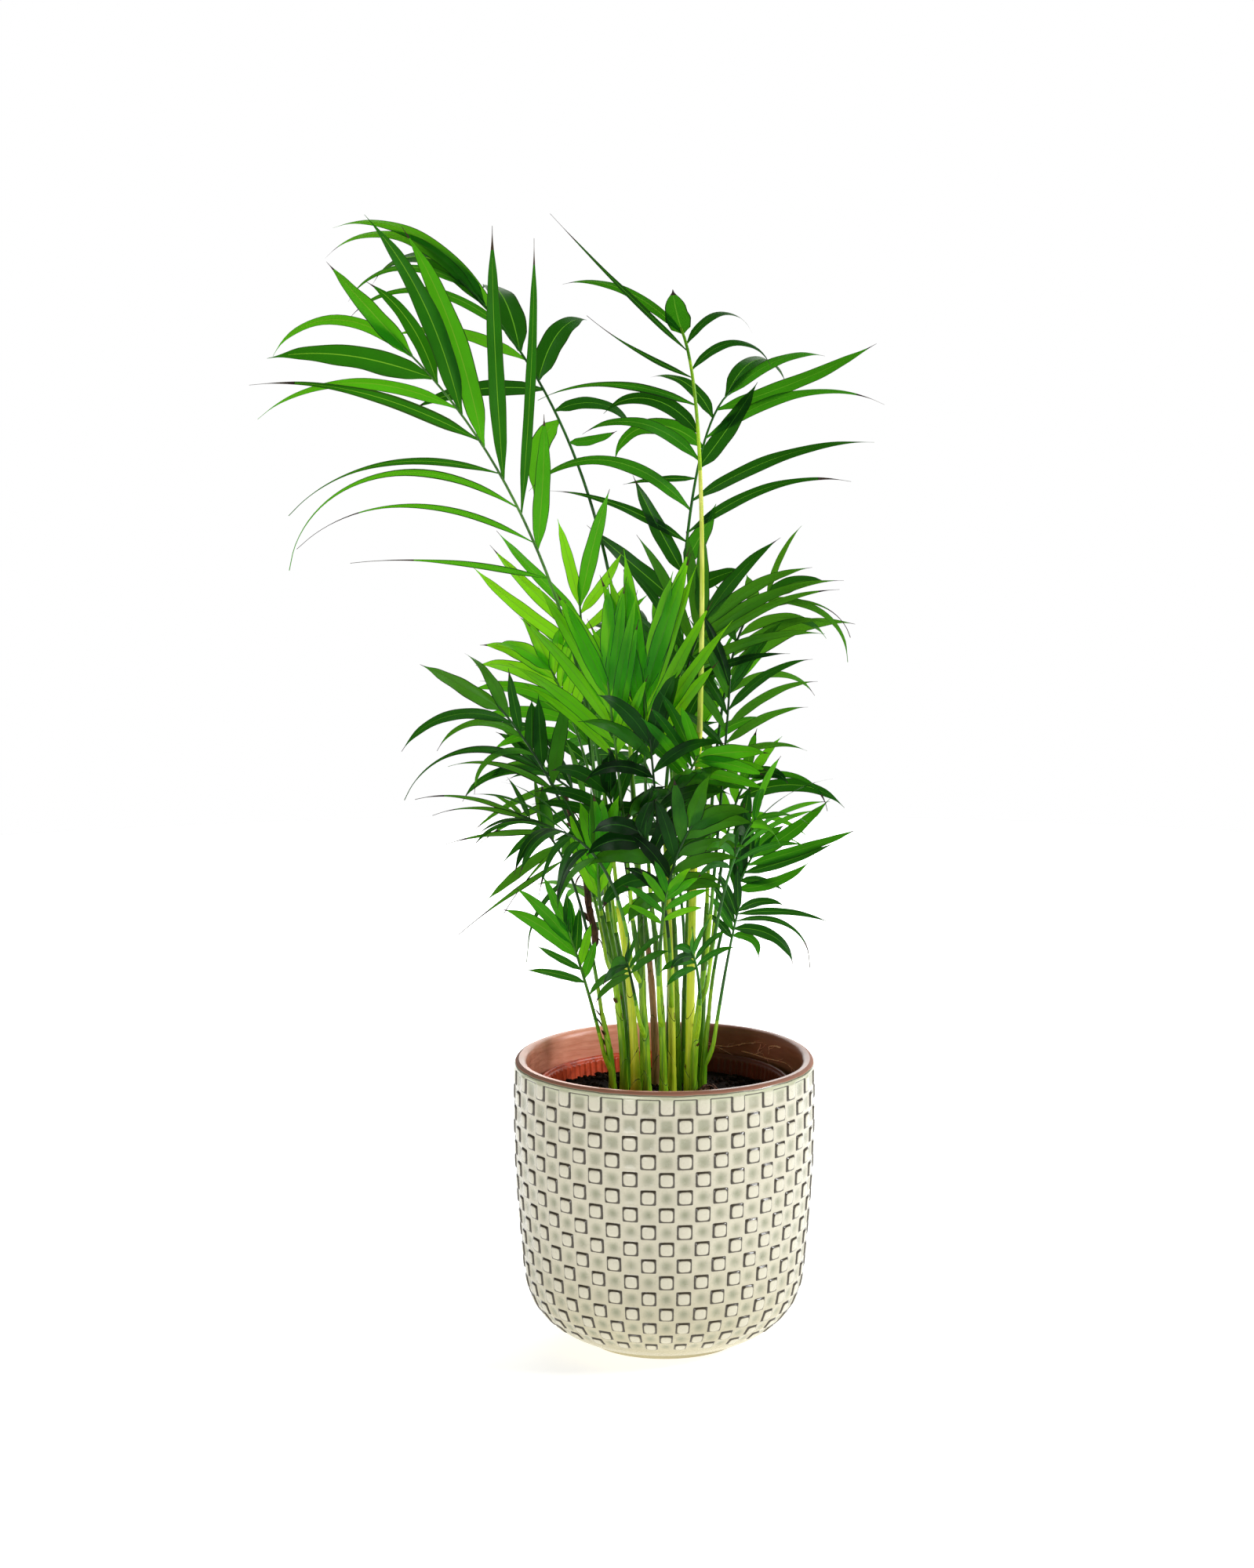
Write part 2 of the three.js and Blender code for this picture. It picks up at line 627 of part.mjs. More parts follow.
// The petiole's room is looked for close to its plain course first, then step by step aside.
function placeRachis(name, frond) {
  for (let ring = 0; ring < 7; ring += 1) {
    for (let turn = 0; turn < 8; turn += 1) {
      for (const spin of [0, 40, -40, 80, -80]) {
        const a = turn * Math.PI / 4;
        const shift = new THREE.Vector3(Math.cos(a), Math.sin(a), 0).multiplyScalar(ring * 3.5);
        const curve = rachisCurve(frond, shift, spin);
        const berth = limb(curve, 5, RACHIS_STEPS, (share) => rachisRadius(frond, share) + GAP + 0.15);
        if (isFree(name, berth)) {
          return curve;
        }
      }
    }
  }
  throw new Error(`no room for the petiole of ${name}`);
}

// Small changes that are tried in turn where a leaflet has no room: swing, lift, share of its length.
const TRIES = [
  [0, 0, 1], [6, 0, 1], [-6, 0, 1], [0, 10, 1], [0, -10, 1], [10, 12, 1], [-10, -12, 1],
  [0, 0, 0.8], [8, 16, 0.8], [-8, -16, 0.8], [0, 24, 0.8], [0, -24, 0.8],
  [0, 0, 0.6], [12, 12, 0.6], [-12, -12, 0.6], [0, 0, 0.42],
];

// Each leaflet of a frond that finds room, as a blade's geometry.
function leaflets(name, index, frond, curve) {
  const [azimuth, elevation] = frond.face.map(rad);
  const facing = new THREE.Vector3(
    Math.cos(azimuth) * Math.cos(elevation),
    Math.sin(azimuth) * Math.cos(elevation),
    Math.sin(elevation),
  );
  const found = [];
  for (let i = 0; i < frond.pairs; i += 1) {
    for (const side of [-1, 1]) {
      const q = i / (frond.pairs - 1);
      const j = i * 2 + (side > 0 ? 1 : 0);
      const habit = side < 0 ? frond.left : frond.right;
      const later = side > 0 ? (frond.later || 0.3) / (frond.pairs - 1) : 0;
      const share = Math.min(0.985, frond.bare + (1 - frond.bare) * (q + later));
      const start = onChord(curve, share);
      const along = curve.getTangentAt(share);
      const top = square(facing, along);
      const across = new THREE.Vector3().crossVectors(along, top);
      const loose = habit.leaf.length > 3 ? 0.3 : 1;
      const spread = through(habit.spread, q) + 5 * loose * wobble(index, j, 1);
      const droop = rad(through(habit.droop, q)) * (1 + 0.22 * loose * wobble(index, j, 2));
      const lift = 5 + 8 * wobble(index, j, 3);
      const length = through(habit.leaf, q) * (1 + 0.08 * loose * wobble(index, j, 4));
      const width = through(habit.wide || frond.wide, q) * (1 + 0.12 * wobble(index, j, 5));
      if (length < 1) {
        continue;
      }
      for (const [swing, raise, part] of TRIES) {
        const a = rad(spread + swing);
        const b = rad(lift + raise);
        const heading = along.clone().multiplyScalar(Math.cos(a));
        heading.addScaledVector(across, side * Math.cos(b) * Math.sin(a));
        heading.addScaledVector(top, Math.sin(b) * Math.sin(a)).normalize();
        const line = midline(start, heading, droop, length * part, 12);
        const spans = spansFor(length * part);
        const berth = blade(line, top, width + 2 * GAP, BLADE_THICKNESS + 3 * GAP, spans);
        if (isFree(name, berth)) {
          const thickness = Math.max(BLADE_THICKNESS, length * part * 0.0105);
          found.push(blade(line, top, width, thickness, spans));
          break;
        }
      }
    }
  }
  return found;
}

// Fuses a frond's rachis and leaflets into one body.
function fuse(pieces) {
  let whole = toSolid(pieces[0]);
  for (const piece of pieces.slice(1)) {
    whole = whole.add(toSolid(piece));
  }
  return whole;
}

// ---------------------------------------------------------------- planter, inner pot and soil
function lathe(profile, sides) {
  const geometry = new THREE.LatheGeometry(profile.map(([r, z]) => new THREE.Vector2(r, z)), sides);
  return geometry.rotateX(Math.PI / 2);
}

function planterGeometry() {
  const h = PLANTER_HEIGHT;
  return lathe([
    [0, 0], [PLANTER_FOOT, 0], [PLANTER_FOOT + 1, 2.5], [48, 4], [56, 8], [62, 12.5], [67.2, 18],
    [70.8, 23], [73.2, 29], [75.2, 38], [76.6, 54], [78.4, 75], [PLANTER_BELLY - 0.6, 98],
    [PLANTER_BELLY, 124], [PLANTER_LIP, h - 3.6], [PLANTER_LIP - 0.8, h - 1], [PLANTER_LIP - 2.6, h],
    [PLANTER_BORE + 2, h], [PLANTER_BORE + 0.4, h - 1], [PLANTER_BORE, h - 3.6], [PLANTER_BORE, 110],
    [70.6, 60], [68, 36], [62, 20], [55, 12], [50, PLANTER_FLOOR], [0, PLANTER_FLOOR],
  ], PLANTER_SIDES);
}

function potGeometry() {
  const low = PLANTER_FLOOR + GAP;
  const t = POT_WALL;
  return lathe([
    [0, low], [POT_BASE, low], [POT_RIM - 2, POT_TOP - 4.5], [POT_RIM, POT_TOP - 4], [POT_RIM, POT_TOP],
    [POT_RIM - 3.2, POT_TOP], [POT_RIM - 2 - t, POT_TOP - 5], [POT_BASE - t, low + t], [0, low + t],
  ], POT_SIDES);
}

function soilGeometry() {
  const low = PLANTER_FLOOR + GAP + POT_WALL + GAP;
  const slope = (POT_RIM - 2 - POT_BASE) / (POT_TOP - 5 - PLANTER_FLOOR);
  const edge = POT_BASE - POT_WALL - 0.7 + slope * (SOIL_EDGE - low);
  return lathe([
    [0, low], [POT_BASE - POT_WALL - 0.7, low], [edge, SOIL_EDGE], [52, SOIL_TOP - 1], [44, SOIL_TOP],
    [0, SOIL_TOP],
  ], POT_SIDES);
}

// ---------------------------------------------------------------- the plant
const palm = new THREE.Group();

function addMesh(name, geometry, colour, roughness) {
  const material = new THREE.MeshStandardMaterial({ color: colour, roughness, metalness: 0 });
  const mesh = new THREE.Mesh(geometry, material);
  mesh.name = name;
  palm.add(mesh);
}

addMesh('planter', planterGeometry(), 0xd6d2bd, 0.35);
addMesh('nursery_pot', potGeometry(), 0xb5401f, 0.5);
addMesh('soil', soilGeometry(), 0x15100e, 1);

for (const [key, stem] of Object.entries(STEMS)) {
  const geometry = stemGeometry(stem, 0);
  addMesh(`stem_${key}`, geometry, 0x9cc02c, 0.45);
  stand(`stem_${key}`, stemGeometry(stem, 0));
}

const courses = Object.entries(FRONDS).map(([name, frond]) => {
  const curve = placeRachis(name, frond);
  stand(name, rachisLimb(frond, curve));
  return curve;
});

const deadCourse = new THREE.QuadraticBezierCurve3(
  new THREE.Vector3(...DEAD_STALK.foot),
  new THREE.Vector3(...DEAD_STALK.knee),
  new THREE.Vector3(...DEAD_STALK.tip),
);
const deadRadius = (share) => DEAD_STALK.width * (0.5 - 0.2 * share);
if (!isFree('dead_stalk', limb(deadCourse, 5, 5, (share) => deadRadius(share) + GAP))) {
  throw new Error('no room for the dead stalk');
}
addMesh('dead_stalk', limb(deadCourse, 5, 5, deadRadius), 0x4a2c1c, 0.9);
stand('dead_stalk', limb(deadCourse, 5, 5, deadRadius));

Object.entries(FRONDS).forEach(([name, frond], index) => {
  const curve = courses[index];
  const found = leaflets(name, index, frond, curve);
  found.forEach((piece) => stand(name, piece.clone()));
  const solid = fuse([rachisLimb(frond, curve), ...found]);
  addMesh(`frond_${name}`, toGeometry(solid), 0x1f7a0a, 0.4);
});

export default palm;
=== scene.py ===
"""A young parlour palm in its glazed cover pot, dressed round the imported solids.

The plant grows here by the rule of its solids, from the same sizes, and goes on from there to
sheaths, petioles and thin leaflets.  Sizes are millimetres, +Z up and -Y to the front, and are made
into metres as each piece is built.
"""

import logging
import math
from collections.abc import Callable, Iterator, Sequence
from dataclasses import dataclass, field
from enum import Enum

import bmesh
import bpy
import numpy as np
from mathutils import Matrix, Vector, noise
from mathutils.bvhtree import BVHTree


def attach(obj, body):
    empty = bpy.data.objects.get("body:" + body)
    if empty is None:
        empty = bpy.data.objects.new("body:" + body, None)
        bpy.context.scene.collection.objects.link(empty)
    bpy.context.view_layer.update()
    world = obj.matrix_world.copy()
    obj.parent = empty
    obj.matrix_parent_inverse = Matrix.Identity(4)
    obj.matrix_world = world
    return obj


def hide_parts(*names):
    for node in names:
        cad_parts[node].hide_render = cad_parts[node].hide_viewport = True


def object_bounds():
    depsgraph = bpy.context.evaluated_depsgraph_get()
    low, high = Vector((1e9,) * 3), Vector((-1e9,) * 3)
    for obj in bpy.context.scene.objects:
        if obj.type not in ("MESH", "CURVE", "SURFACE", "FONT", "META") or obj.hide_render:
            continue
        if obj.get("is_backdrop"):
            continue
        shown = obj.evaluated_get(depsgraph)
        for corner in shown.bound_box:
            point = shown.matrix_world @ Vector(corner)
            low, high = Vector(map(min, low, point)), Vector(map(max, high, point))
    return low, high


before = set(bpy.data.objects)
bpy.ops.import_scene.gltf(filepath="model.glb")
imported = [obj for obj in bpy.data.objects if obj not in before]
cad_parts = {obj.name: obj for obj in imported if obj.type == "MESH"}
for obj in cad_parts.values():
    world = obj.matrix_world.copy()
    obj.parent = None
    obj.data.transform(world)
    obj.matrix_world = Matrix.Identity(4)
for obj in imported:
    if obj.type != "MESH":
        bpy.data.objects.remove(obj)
CAD_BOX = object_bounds()

log = logging.getLogger("palm")

Array = np.ndarray
Numbers = np.ndarray | float
Material = bpy.types.Material
Piece = bpy.types.Object
Pair = tuple[float, float]
Triple = tuple[float, float, float]
Row = tuple[float, ...]

MM = 0.001
BODY = "root"

# ---- driving sizes
GAP = 0.3               # air between neighbouring pieces
SOIL_TOP = 135.5
STEM_BASE = 4.2         # stem diameter at the soil
STEM_TIP = 2.5          # and where its petiole takes over
PETIOLE = 2.2           # petiole diameter at its foot
RACHIS_TIP = 1.1        # diameter of the rachis at the last leaflet
BLADE_THICKNESS = 1.25  # of the solids' leaflets
RACHIS_STEPS = 7        # chords of the solids' rachis
MIDLINE_STEPS = 12

UP = np.array([0.0, 0.0, 1.0])
DOWN = -UP
TURN = 2 * math.pi


# ---- small helpers
def wobble(i: int, j: int, k: int) -> float:
    """A repeatable number from -1 to 1 for piece i, part j and use k."""
    s = math.sin(i * 12.9898 + j * 78.233 + k * 37.719) * 43758.5453
    return 2 * (s - math.floor(s)) - 1


def between(ends: Pair, q: float) -> float:
    """Reads a pair of end values at share q."""
    return ends[0] + (ends[1] - ends[0]) * q


def through(values: Row, q: float) -> float:
    """Reads a row of values, spaced evenly from the foot to the tip.

    Args:
        values: Two or more values; three are joined by a curve, others by straight lines.
        q: Share of the way, from 0 to 1.

    Returns:
        The value at that share.
    """
    if len(values) == 3:
        foot, middle, tip = values
        return foot * (1 - q) * (1 - 2 * q) + 4 * middle * q * (1 - q) + tip * q * (2 * q - 1)
    place = q * (len(values) - 1)
    k = min(len(values) - 2, math.floor(place + 1e-6))
    return between((values[k], values[k + 1]), place - k)


def unit(v: Array) -> Array:
    """The vector, or each row of vectors, at unit length."""
    return v / np.linalg.norm(v, axis=-1, keepdims=True)


def square(v: Array, axis: Array) -> Array:
    """The part of v that is square to axis, at unit length."""
    return unit(v - axis * np.sum(v * axis, axis=-1, keepdims=True))


def turned(v: Array, axis: Array, angle: float) -> Array:
    """Turns v about a unit axis by an angle in radians."""
    kept = axis * np.dot(axis, v) * (1 - math.cos(angle))
    return v * math.cos(angle) + np.cross(axis, v) * math.sin(angle) + kept


def ease(low: float, high: float, x: Numbers) -> Array:
    """Goes smoothly from 0 at low to 1 at high."""
    t = np.clip((np.asarray(x) - low) / (high - low), 0, 1)
    return t * t * (3 - 2 * t)


def shares(count: int) -> Array:
    """So many numbers, evenly spaced from 0 to 1."""
    return np.linspace(0, 1, count)


def around(count: int) -> Array:
    """So many angles, evenly spaced round a whole turn."""
    return np.arange(count) * TURN / count


def spoke(angle: float) -> Array:
    """The level unit direction at an angle, in radians from the right."""
    return np.array([math.cos(angle), math.sin(angle), 0])


def travelled(points: Array) -> Array:
    """How far along a line each of its points lies."""
    return np.concatenate([[0], np.cumsum(np.linalg.norm(np.diff(points, axis=0), axis=1))])


def tone(text: str) -> tuple[float, float, float, float]:
    """A colour written as six hex digits, as the linear RGBA that Blender wants."""
    parts = [int(text[i:i + 2], 16) / 255 for i in (0, 2, 4)]
    linear = [p / 12.92 if p <= 0.04045 else ((p + 0.055) / 1.055) ** 2.4 for p in parts]
    return (*linear, 1.0)


# ---- shader writing
def _operator(operation: str, swapped: bool = False) -> "Callable[..., Wire]":
    """Makes a method of Wire.

    Args:
        operation: The Math node's operation.
        swapped: Whether the wire comes after the other value.

    Returns:
        A method that adds the Math node and gives its result as a wire.
    """
    def apply(self: "Wire", *others: "Wire | float") -> "Wire":
        """Adds the node."""
        values = (*others, self) if swapped else (self, *others)
        inputs = dict(enumerate(values))
        return self.shader.node("ShaderNodeMath", {"operation": operation}, inputs)

    return apply


@dataclass(eq=False)
class Wire:
    """An output socket of a material, with arithmetic that adds Math nodes."""

    shader: "Shader"
    socket: bpy.types.NodeSocket

    __add__ = __radd__ = _operator("ADD")
    __sub__ = _operator("SUBTRACT")
    __rsub__ = _operator("SUBTRACT", swapped=True)
    __mul__ = __rmul__ = _operator("MULTIPLY")
    __pow__ = _operator("POWER")
    __mod__ = _operator("MODULO")
    __abs__ = _operator("ABSOLUTE")
    floor = _operator("FLOOR")
    part = _operator("FRACT")

    def ramp(self, low: float, high: float) -> "Wire":
        """Goes smoothly from 0 at low to 1 at high."""
        inputs = {"Value": self, "From Min": low, "From Max": high}
        settings = {"interpolation_type": "SMOOTHSTEP"}
        return self.shader.node("ShaderNodeMapRange", settings, inputs)


class Shader:
    """A material, or a world, under construction."""

    def __init__(self, owner: Material | bpy.types.World) -> None:
        """Starts from nothing on a new material or world.

        Args:
            owner: The material or world.
        """
        self.owner = owner
        owner.use_nodes = True
        self.tree = owner.node_tree
        self.tree.nodes.clear()

    @classmethod
    def named(cls, name: str) -> "Shader":
        """A new material of that name."""
        return cls(bpy.data.materials.new(name))

    def node(
        self,
        kind: str,
        settings: dict[str, object] | None = None,
        inputs: dict[str | int, object] | None = None,
        output: str | int = 0,
    ) -> Wire | None:
        """Adds a node.

        Args:
            kind: The node's Blender type.
            settings: Its properties, set first.
            inputs: A value or a wire for each socket, by name, identifier or place.
            output: The name or place of the socket that is wanted.

        Returns:
            That output, as a wire, or None from a node that has none.
        """
        made = self.tree.nodes.new(kind)
        for key, value in (settings or {}).items():
            setattr(made, key, value)
        for key, value in (inputs or {}).items():
            socket = self._socket(made.inputs, key)
            if isinstance(value, Wire):
                self.tree.links.new(value.socket, socket)
            else:
                socket.default_value = value
        return Wire(self, self._socket(made.outputs, output)) if len(made.outputs) else None

    @staticmethod
    def _socket(sockets: bpy.types.bpy_prop_collection, key: str | int) -> bpy.types.NodeSocket:
        """Finds a socket by its place, its identifier or its name."""
        if isinstance(key, int):
            return sockets[key]
        return next((s for s in sockets if s.identifier == key), None) or sockets[key]

    def blend(self, mask: Wire, low: Wire | tuple, high: Wire | tuple) -> Wire:
        """A colour that goes from low to high with the mask."""
        inputs = {"Factor_Float": mask, "A_Color": low, "B_Color": high}
        return self.node("ShaderNodeMix", {"data_type": "RGBA"}, inputs, "Result_Color")

    def place(self, stretch: Triple = (1, 1, 1)) -> Wire:
        """The piece's own coordinates, in metres, stretched by the given scales."""
        inputs = {0: self.node("ShaderNodeTexCoord", output="Object"), 1: stretch}
        return self.node("ShaderNodeVectorMath", {"operation": "MULTIPLY"}, inputs)

    def side(self, low: float, high: float) -> Wire:
        """Goes from 0 to 1 between two distances to the right of the middle, in metres."""
        return self.node("ShaderNodeSeparateXYZ", None, {0: self.place()}, "X").ramp(low, high)

    def speckle(self, scale: float, detail: float, stretch: Triple = (1, 1, 1)) -> Wire:
        """Soft noise from 0 to 1 with so many lumps a metre."""
        where = self.place(stretch)
        inputs = {"Vector": where, "Scale": scale, "Detail": detail, "Roughness": 0.55}
        return self.node("ShaderNodeTexNoise", None, inputs, "Fac")

    def bump(self, height: Wire, depth: float) -> Wire:
        """A normal that follows the height, which is so many metres deep."""
        return self.node("ShaderNodeBump", None, {"Height": height, "Distance": depth}, "Normal")

    def finish(self, glow: float = 0.0, glow_tone: str = "", **sockets: object) -> Material:
        """Ends the material with its main shader.

        Args:
            glow: Share of light that comes through a thin blade.
            glow_tone: The colour of that light.
            **sockets: Values or wires of the main shader, with _ for a space in the name.

        Returns:
            The finished material.
        """
        inputs = {key.replace("_", " "): value for key, value in sockets.items()}
        surface = self.node("ShaderNodeBsdfPrincipled", None, inputs)
        if glow:
            behind = self.node("ShaderNodeBsdfTranslucent", None, {"Color": tone(glow_tone)})
            surface = self.node("ShaderNodeMixShader", None, {0: glow, 1: surface, 2: behind})
        self.node("ShaderNodeOutputMaterial", None, {"Surface": surface})
        return self.owner


# ---- finishes
@dataclass(frozen=True)
class Finish:
    """A surface mottled from dark to light by a fine and a broad noise, with a fine grain.

    A noise is written as its lumps a metre, its detail and how the coordinates are stretched.
    """

    name: str
    light: str
    dark: str

    fine = (900, 2)
    broad = (45, 2)
    share = 0.0                # of the fine noise in the mottling
    edges = (0.3, 0.7)          # where the mottling is all dark, and all light
    roughness = 0.45
    swing = 0.12               # of the roughness with the fine noise
    specular = 0.15
    depth = 0.00008            # of the bumps, in metres
    bumpy = 1.0                # share of the fine noise in the bumps

    def make(self) -> Material:
        """Makes the material.

        Returns:
            The finished material.
        """
        s = Shader.named(self.name)
        fine, broad = s.speckle(*self.fine), s.speckle(*self.broad)
        mask = self._mixed(fine, broad, self.share).ramp(*self.edges)
        colour = s.blend(mask, tone(self.dark), tone(self.light))
        return s.finish(
            Base_Color=self._with_painted_shade(s, colour, broad),
            Roughness=self._matt(fine, broad),
            Specular_IOR_Level=self.specular,
            Normal=s.bump(self._mixed(fine, broad, self.bumpy), self.depth),
            **self._more(),
        )

    @staticmethod
    def _mixed(fine: Wire, broad: Wire, share: float) -> Wire:
        """The two noises, of which the fine one has the given share."""
        if share in (0, 1):
            return fine if share else broad
        return share * fine + (1 - share) * broad

    def _matt(self, fine: Wire, broad: Wire) -> Wire:
        """How rough it is."""
        return self.roughness + self.swing * (fine - 0.5)

    def _with_painted_shade(self, s: Shader, colour: Wire, broad: Wire) -> Wire:
        """The colour, with any painted shade on it."""
        return colour

    def _more(self) -> dict[str, object]:
        """Further settings of the main shader."""
        return {}


@dataclass(frozen=True)
class LeafFinish(Finish):
    """The waxy skin of a leaflet, with light coming through it."""

    glow_tone: str
    glow: float

    def _more(self) -> dict[str, object]:
        """The light that comes through."""
        return {"glow": self.glow, "glow_tone": self.glow_tone}


class StalkFinish(Finish):
    """The smooth skin of a stem, a sheath or a petiole, streaked along its length."""

    fine = (1400, 3, (1, 1, 0.06))
    broad = (60, 2, (1, 1, 0.5))
    share = 0.45
    edges = (0.4, 0.6)
    roughness = 0.38
    swing = 0.15
    specular = 0.3
    depth = 0.00015

    def _more(self) -> dict[str, object]:
        """The light that spreads under its skin."""
        radius = {"Subsurface_Radius": (0.6, 1.0, 0.2), "Subsurface_Scale": 0.002}
        return {"Subsurface_Weight": 0.06, **radius}


class DryFinish(Finish):
    """Dead, papery or woody plant matter, with long cracks and blotches."""

    fine = (1100, 4, (1, 1, 0.12))
    broad = (160, 4)
    share = 0.6
    edges = (0.38, 0.64)
    roughness = 0.75
    swing = 0.2
    specular = 0.25
    depth = 0.0006


class SoilFinish(Finish):
    """Damp peaty soil, crumbly down to the grain."""

    fine = (2600, 3)
    broad = (480, 6)
    edges = (0.4, 0.72)
    roughness = 0.9
    swing = 0.1
    specular = 0.08
    depth = 0.0012
    bumpy = 0.4


@dataclass(frozen=True)
class ClayFinish(Finish):
    """Bare or thinly washed clay, brushed round as it turned."""

    roughness: float = 0.8
    painted_shade: float = 0.0       # how far the bore's right side is darkened: painted shade

    fine = (520, 4, (0.15, 0.15, 1))
    broad = (38, 3)
    share = 0.5
    edges = (0.34, 0.66)
    swing = 0.15
    specular = 0.4
    depth = 0.0003

    def _with_painted_shade(self, s: Shader, colour: Wire, broad: Wire) -> Wire:
        """The colour, darkened towards a deep brown at the right side: painted shade."""
        if not self.painted_shade:
            return colour
        # Painted shade: the right side of the bore is darkened, more where the broad noise is high.
        painted_dark = self.painted_shade * s.side(-0.01, 0.035) * (0.75 + 0.25 * broad)
        return s.blend(painted_dark, colour, tone("60240f"))


class PlasticFinish(Finish):
    """Thin moulded pot plastic, dusty with soil."""

    fine = (1800, 2)
    broad = (220, 5)
    edges = (0.25, 0.6)
    specular = 0.45
    depth = 0.0001

    def _matt(self, fine: Wire, broad: Wire) -> Wire:
        """Rougher where the dust lies."""
        return 0.3 + 0.2 * broad

    def _with_painted_shade(self, s: Shader, colour: Wire, broad: Wire) -> Wire:
        """The colour, darkened at its right side: painted shade."""
        # Painted shade on the pot's right side.
        return s.blend(0.9 * s.side(-0.005, 0.03), colour, tone("48180c"))


@dataclass(frozen=True)
class GlazeFinish:
    """Pale glaze that pools grey-green in the dished pads and breaks brown round the studs."""

    name: str = "pooled_glaze"
    cream: str = "d2ccb6"
    pool: str = "909378"
    stud: str = "d8d3bf"
    collar: str = "c6c8aa"
    outline: str = "261a08"
    low_shade_cream: str = "b9b08a"   # darker and yellower low on the wall: painted shade
    lip: str = "9c6852"
    lip_edge: float = -0.21         # row at which the bare lip ends
    last_row: float = 16

    def make(self) -> Material:
        """The material, laid out by the piece's cell coordinates.

        Returns:
            The finished material.
        """
        s = Shader.named(self.name)
        cells = s.node("ShaderNodeUVMap", {"uv_map": "cells"})
        column, row = (s.node("ShaderNodeSeparateXYZ", None, {0: cells}, axis) for axis in "XY")
        drift, cloud, fine = s.speckle(260, 3), s.speckle(70, 2), s.speckle(1500, 2)
        shake = 0.11 * (drift - 0.5)
        across = abs(column.part() - 0.5) * 2
        down = (row.part() - 0.5) * 2
        first = 1 - row.ramp(0.99, 1.01)
        is_open = first * (1 - down.ramp(-0.02, 0.02))
        stud_down = abs(down) * (1 - is_open)
        stud = (column.floor() + row.floor() + 1) % 2

        # Studs: a broken outline between a rounded square and a squarer one.
        inner = self._reach(across, stud_down, 4) + 0.8 * shake
        outer = self._reach(across, stud_down, 12) + 0.3 * shake
        ring = stud * inner.ramp(0.6, 0.73) * (1 - outer.ramp(0.84, 0.9)) * fine.ramp(0.0, 0.35)
        on_stud = stud * (1 - inner.ramp(0.5, 0.7))

        # Pads: square pools in the first rows, round ones from there down.
        square_pool = 1 - (self._reach(across, abs(down), 5) + shake).ramp(0.42, 0.9)
        round_pool = 1 - (self._reach(across, abs(down), 2) + shake).ramp(0.0, 1.0)
        settled = row.ramp(0.6, 6)
        pooled = (0.72 * square_pool) * (1 - settled) + (0.9 * round_pool) * settled
        pooled = (1 - stud) * pooled * (0.7 + 0.3 * cloud.ramp(0.2, 0.6))
        over_pad = 1 - stud * (1 - across.ramp(0.76, 0.82))
        crest = first * over_pad * row.ramp(-0.01, 0.02) * (1 - row.ramp(0.06, 0.11))
        body = row.ramp(0.0, 0.06) * (1 - row.ramp(self.last_row - 0.05, self.last_row + 0.05))

        # The bare lip over all of it, with a thin dark edge below.
        wavy = row + 0.12 * (cloud - 0.5) - self.lip_edge
        band = 1 - wavy.ramp(-0.03, 0.01)
        under_lip = wavy.ramp(-0.02, 0.02) * (1 - wavy.ramp(0.04, 0.09))
        # Darker and yellower towards the foot: painted shade low on the wall.
        low_shade = 0.6 * row.ramp(7, self.last_row) + 0.3 * row.ramp(self.last_row, 16.4)
        colour = tone(self.cream)
        for mask, wanted in (
            (1 - row.ramp(0.0, 0.5), self.collar),
            (low_shade, self.low_shade_cream),
            (pooled * body, self.pool),
            (on_stud * body * 0.7, self.stud),
            (0.95 * ring * body, self.outline),
            (0.85 * crest, self.outline),
            (0.75 * under_lip, self.outline),
            (band, self.lip),
        ):
            colour = s.blend(mask, colour, tone(wanted))
        return s.finish(
            Base_Color=colour,
            Roughness=0.22 + 0.45 * band + 0.12 * drift,
            Specular_IOR_Level=0.5,
            Coat_Weight=0.3 * (1 - band),
            Coat_Roughness=0.12,
            Normal=s.bump(0.7 * drift + 0.3 * fine, 0.0002),
        )

    @staticmethod
    def _reach(across: Wire, down: Wire, power: int) -> Wire:
        """Distance from a cell's middle, the squarer the higher the power."""
        return (across ** power + down ** power) ** (1 / power)


@dataclass(frozen=True)
class FloorFinish:
    """The pale floor, glowing less near the pot and fully towards its edge so that it seems to have
    no
    end: painted light, which also lights the pot from below.
    """

    name: str = "pale_floor"
    light: str = "f2f2f0"
    dark: str = "ecece9"
    near: float = 0.1
    far: float = 0.9
    near_glow: float = 0.66

    def make(self) -> Material:
        """The material, matt and all but even.

        Returns:
            The finished material.
        """
        s = Shader.named(self.name)
        cloud = s.speckle(3, 2)
        away = s.node("ShaderNodeVectorMath", {"operation": "LENGTH"}, {0: s.place()}, "Value")
        glow = self.near_glow + (1 - self.near_glow) * away.ramp(self.near, self.far)
        return s.finish(
            Base_Color=s.blend(cloud.ramp(0.3, 0.7), tone(self.dark), tone(self.light)),
            Roughness=0.85,
            Specular_IOR_Level=0.15,
            Emission_Color=s.blend(glow, (0, 0, 0, 1), (1, 1, 1, 1)),
            Emission_Strength=1.0,
        )


class Tint(Enum):
    """How old a frond is: the piece that its leaflets are joined to, and the record's slot."""

    YOUNG = ("young_leaflets", "young_leaf")
    GROWN = ("leaflets", "leaf")
    OLD = ("old_leaflets", "old_leaf")


YOUNG, GROWN, OLD = Tint
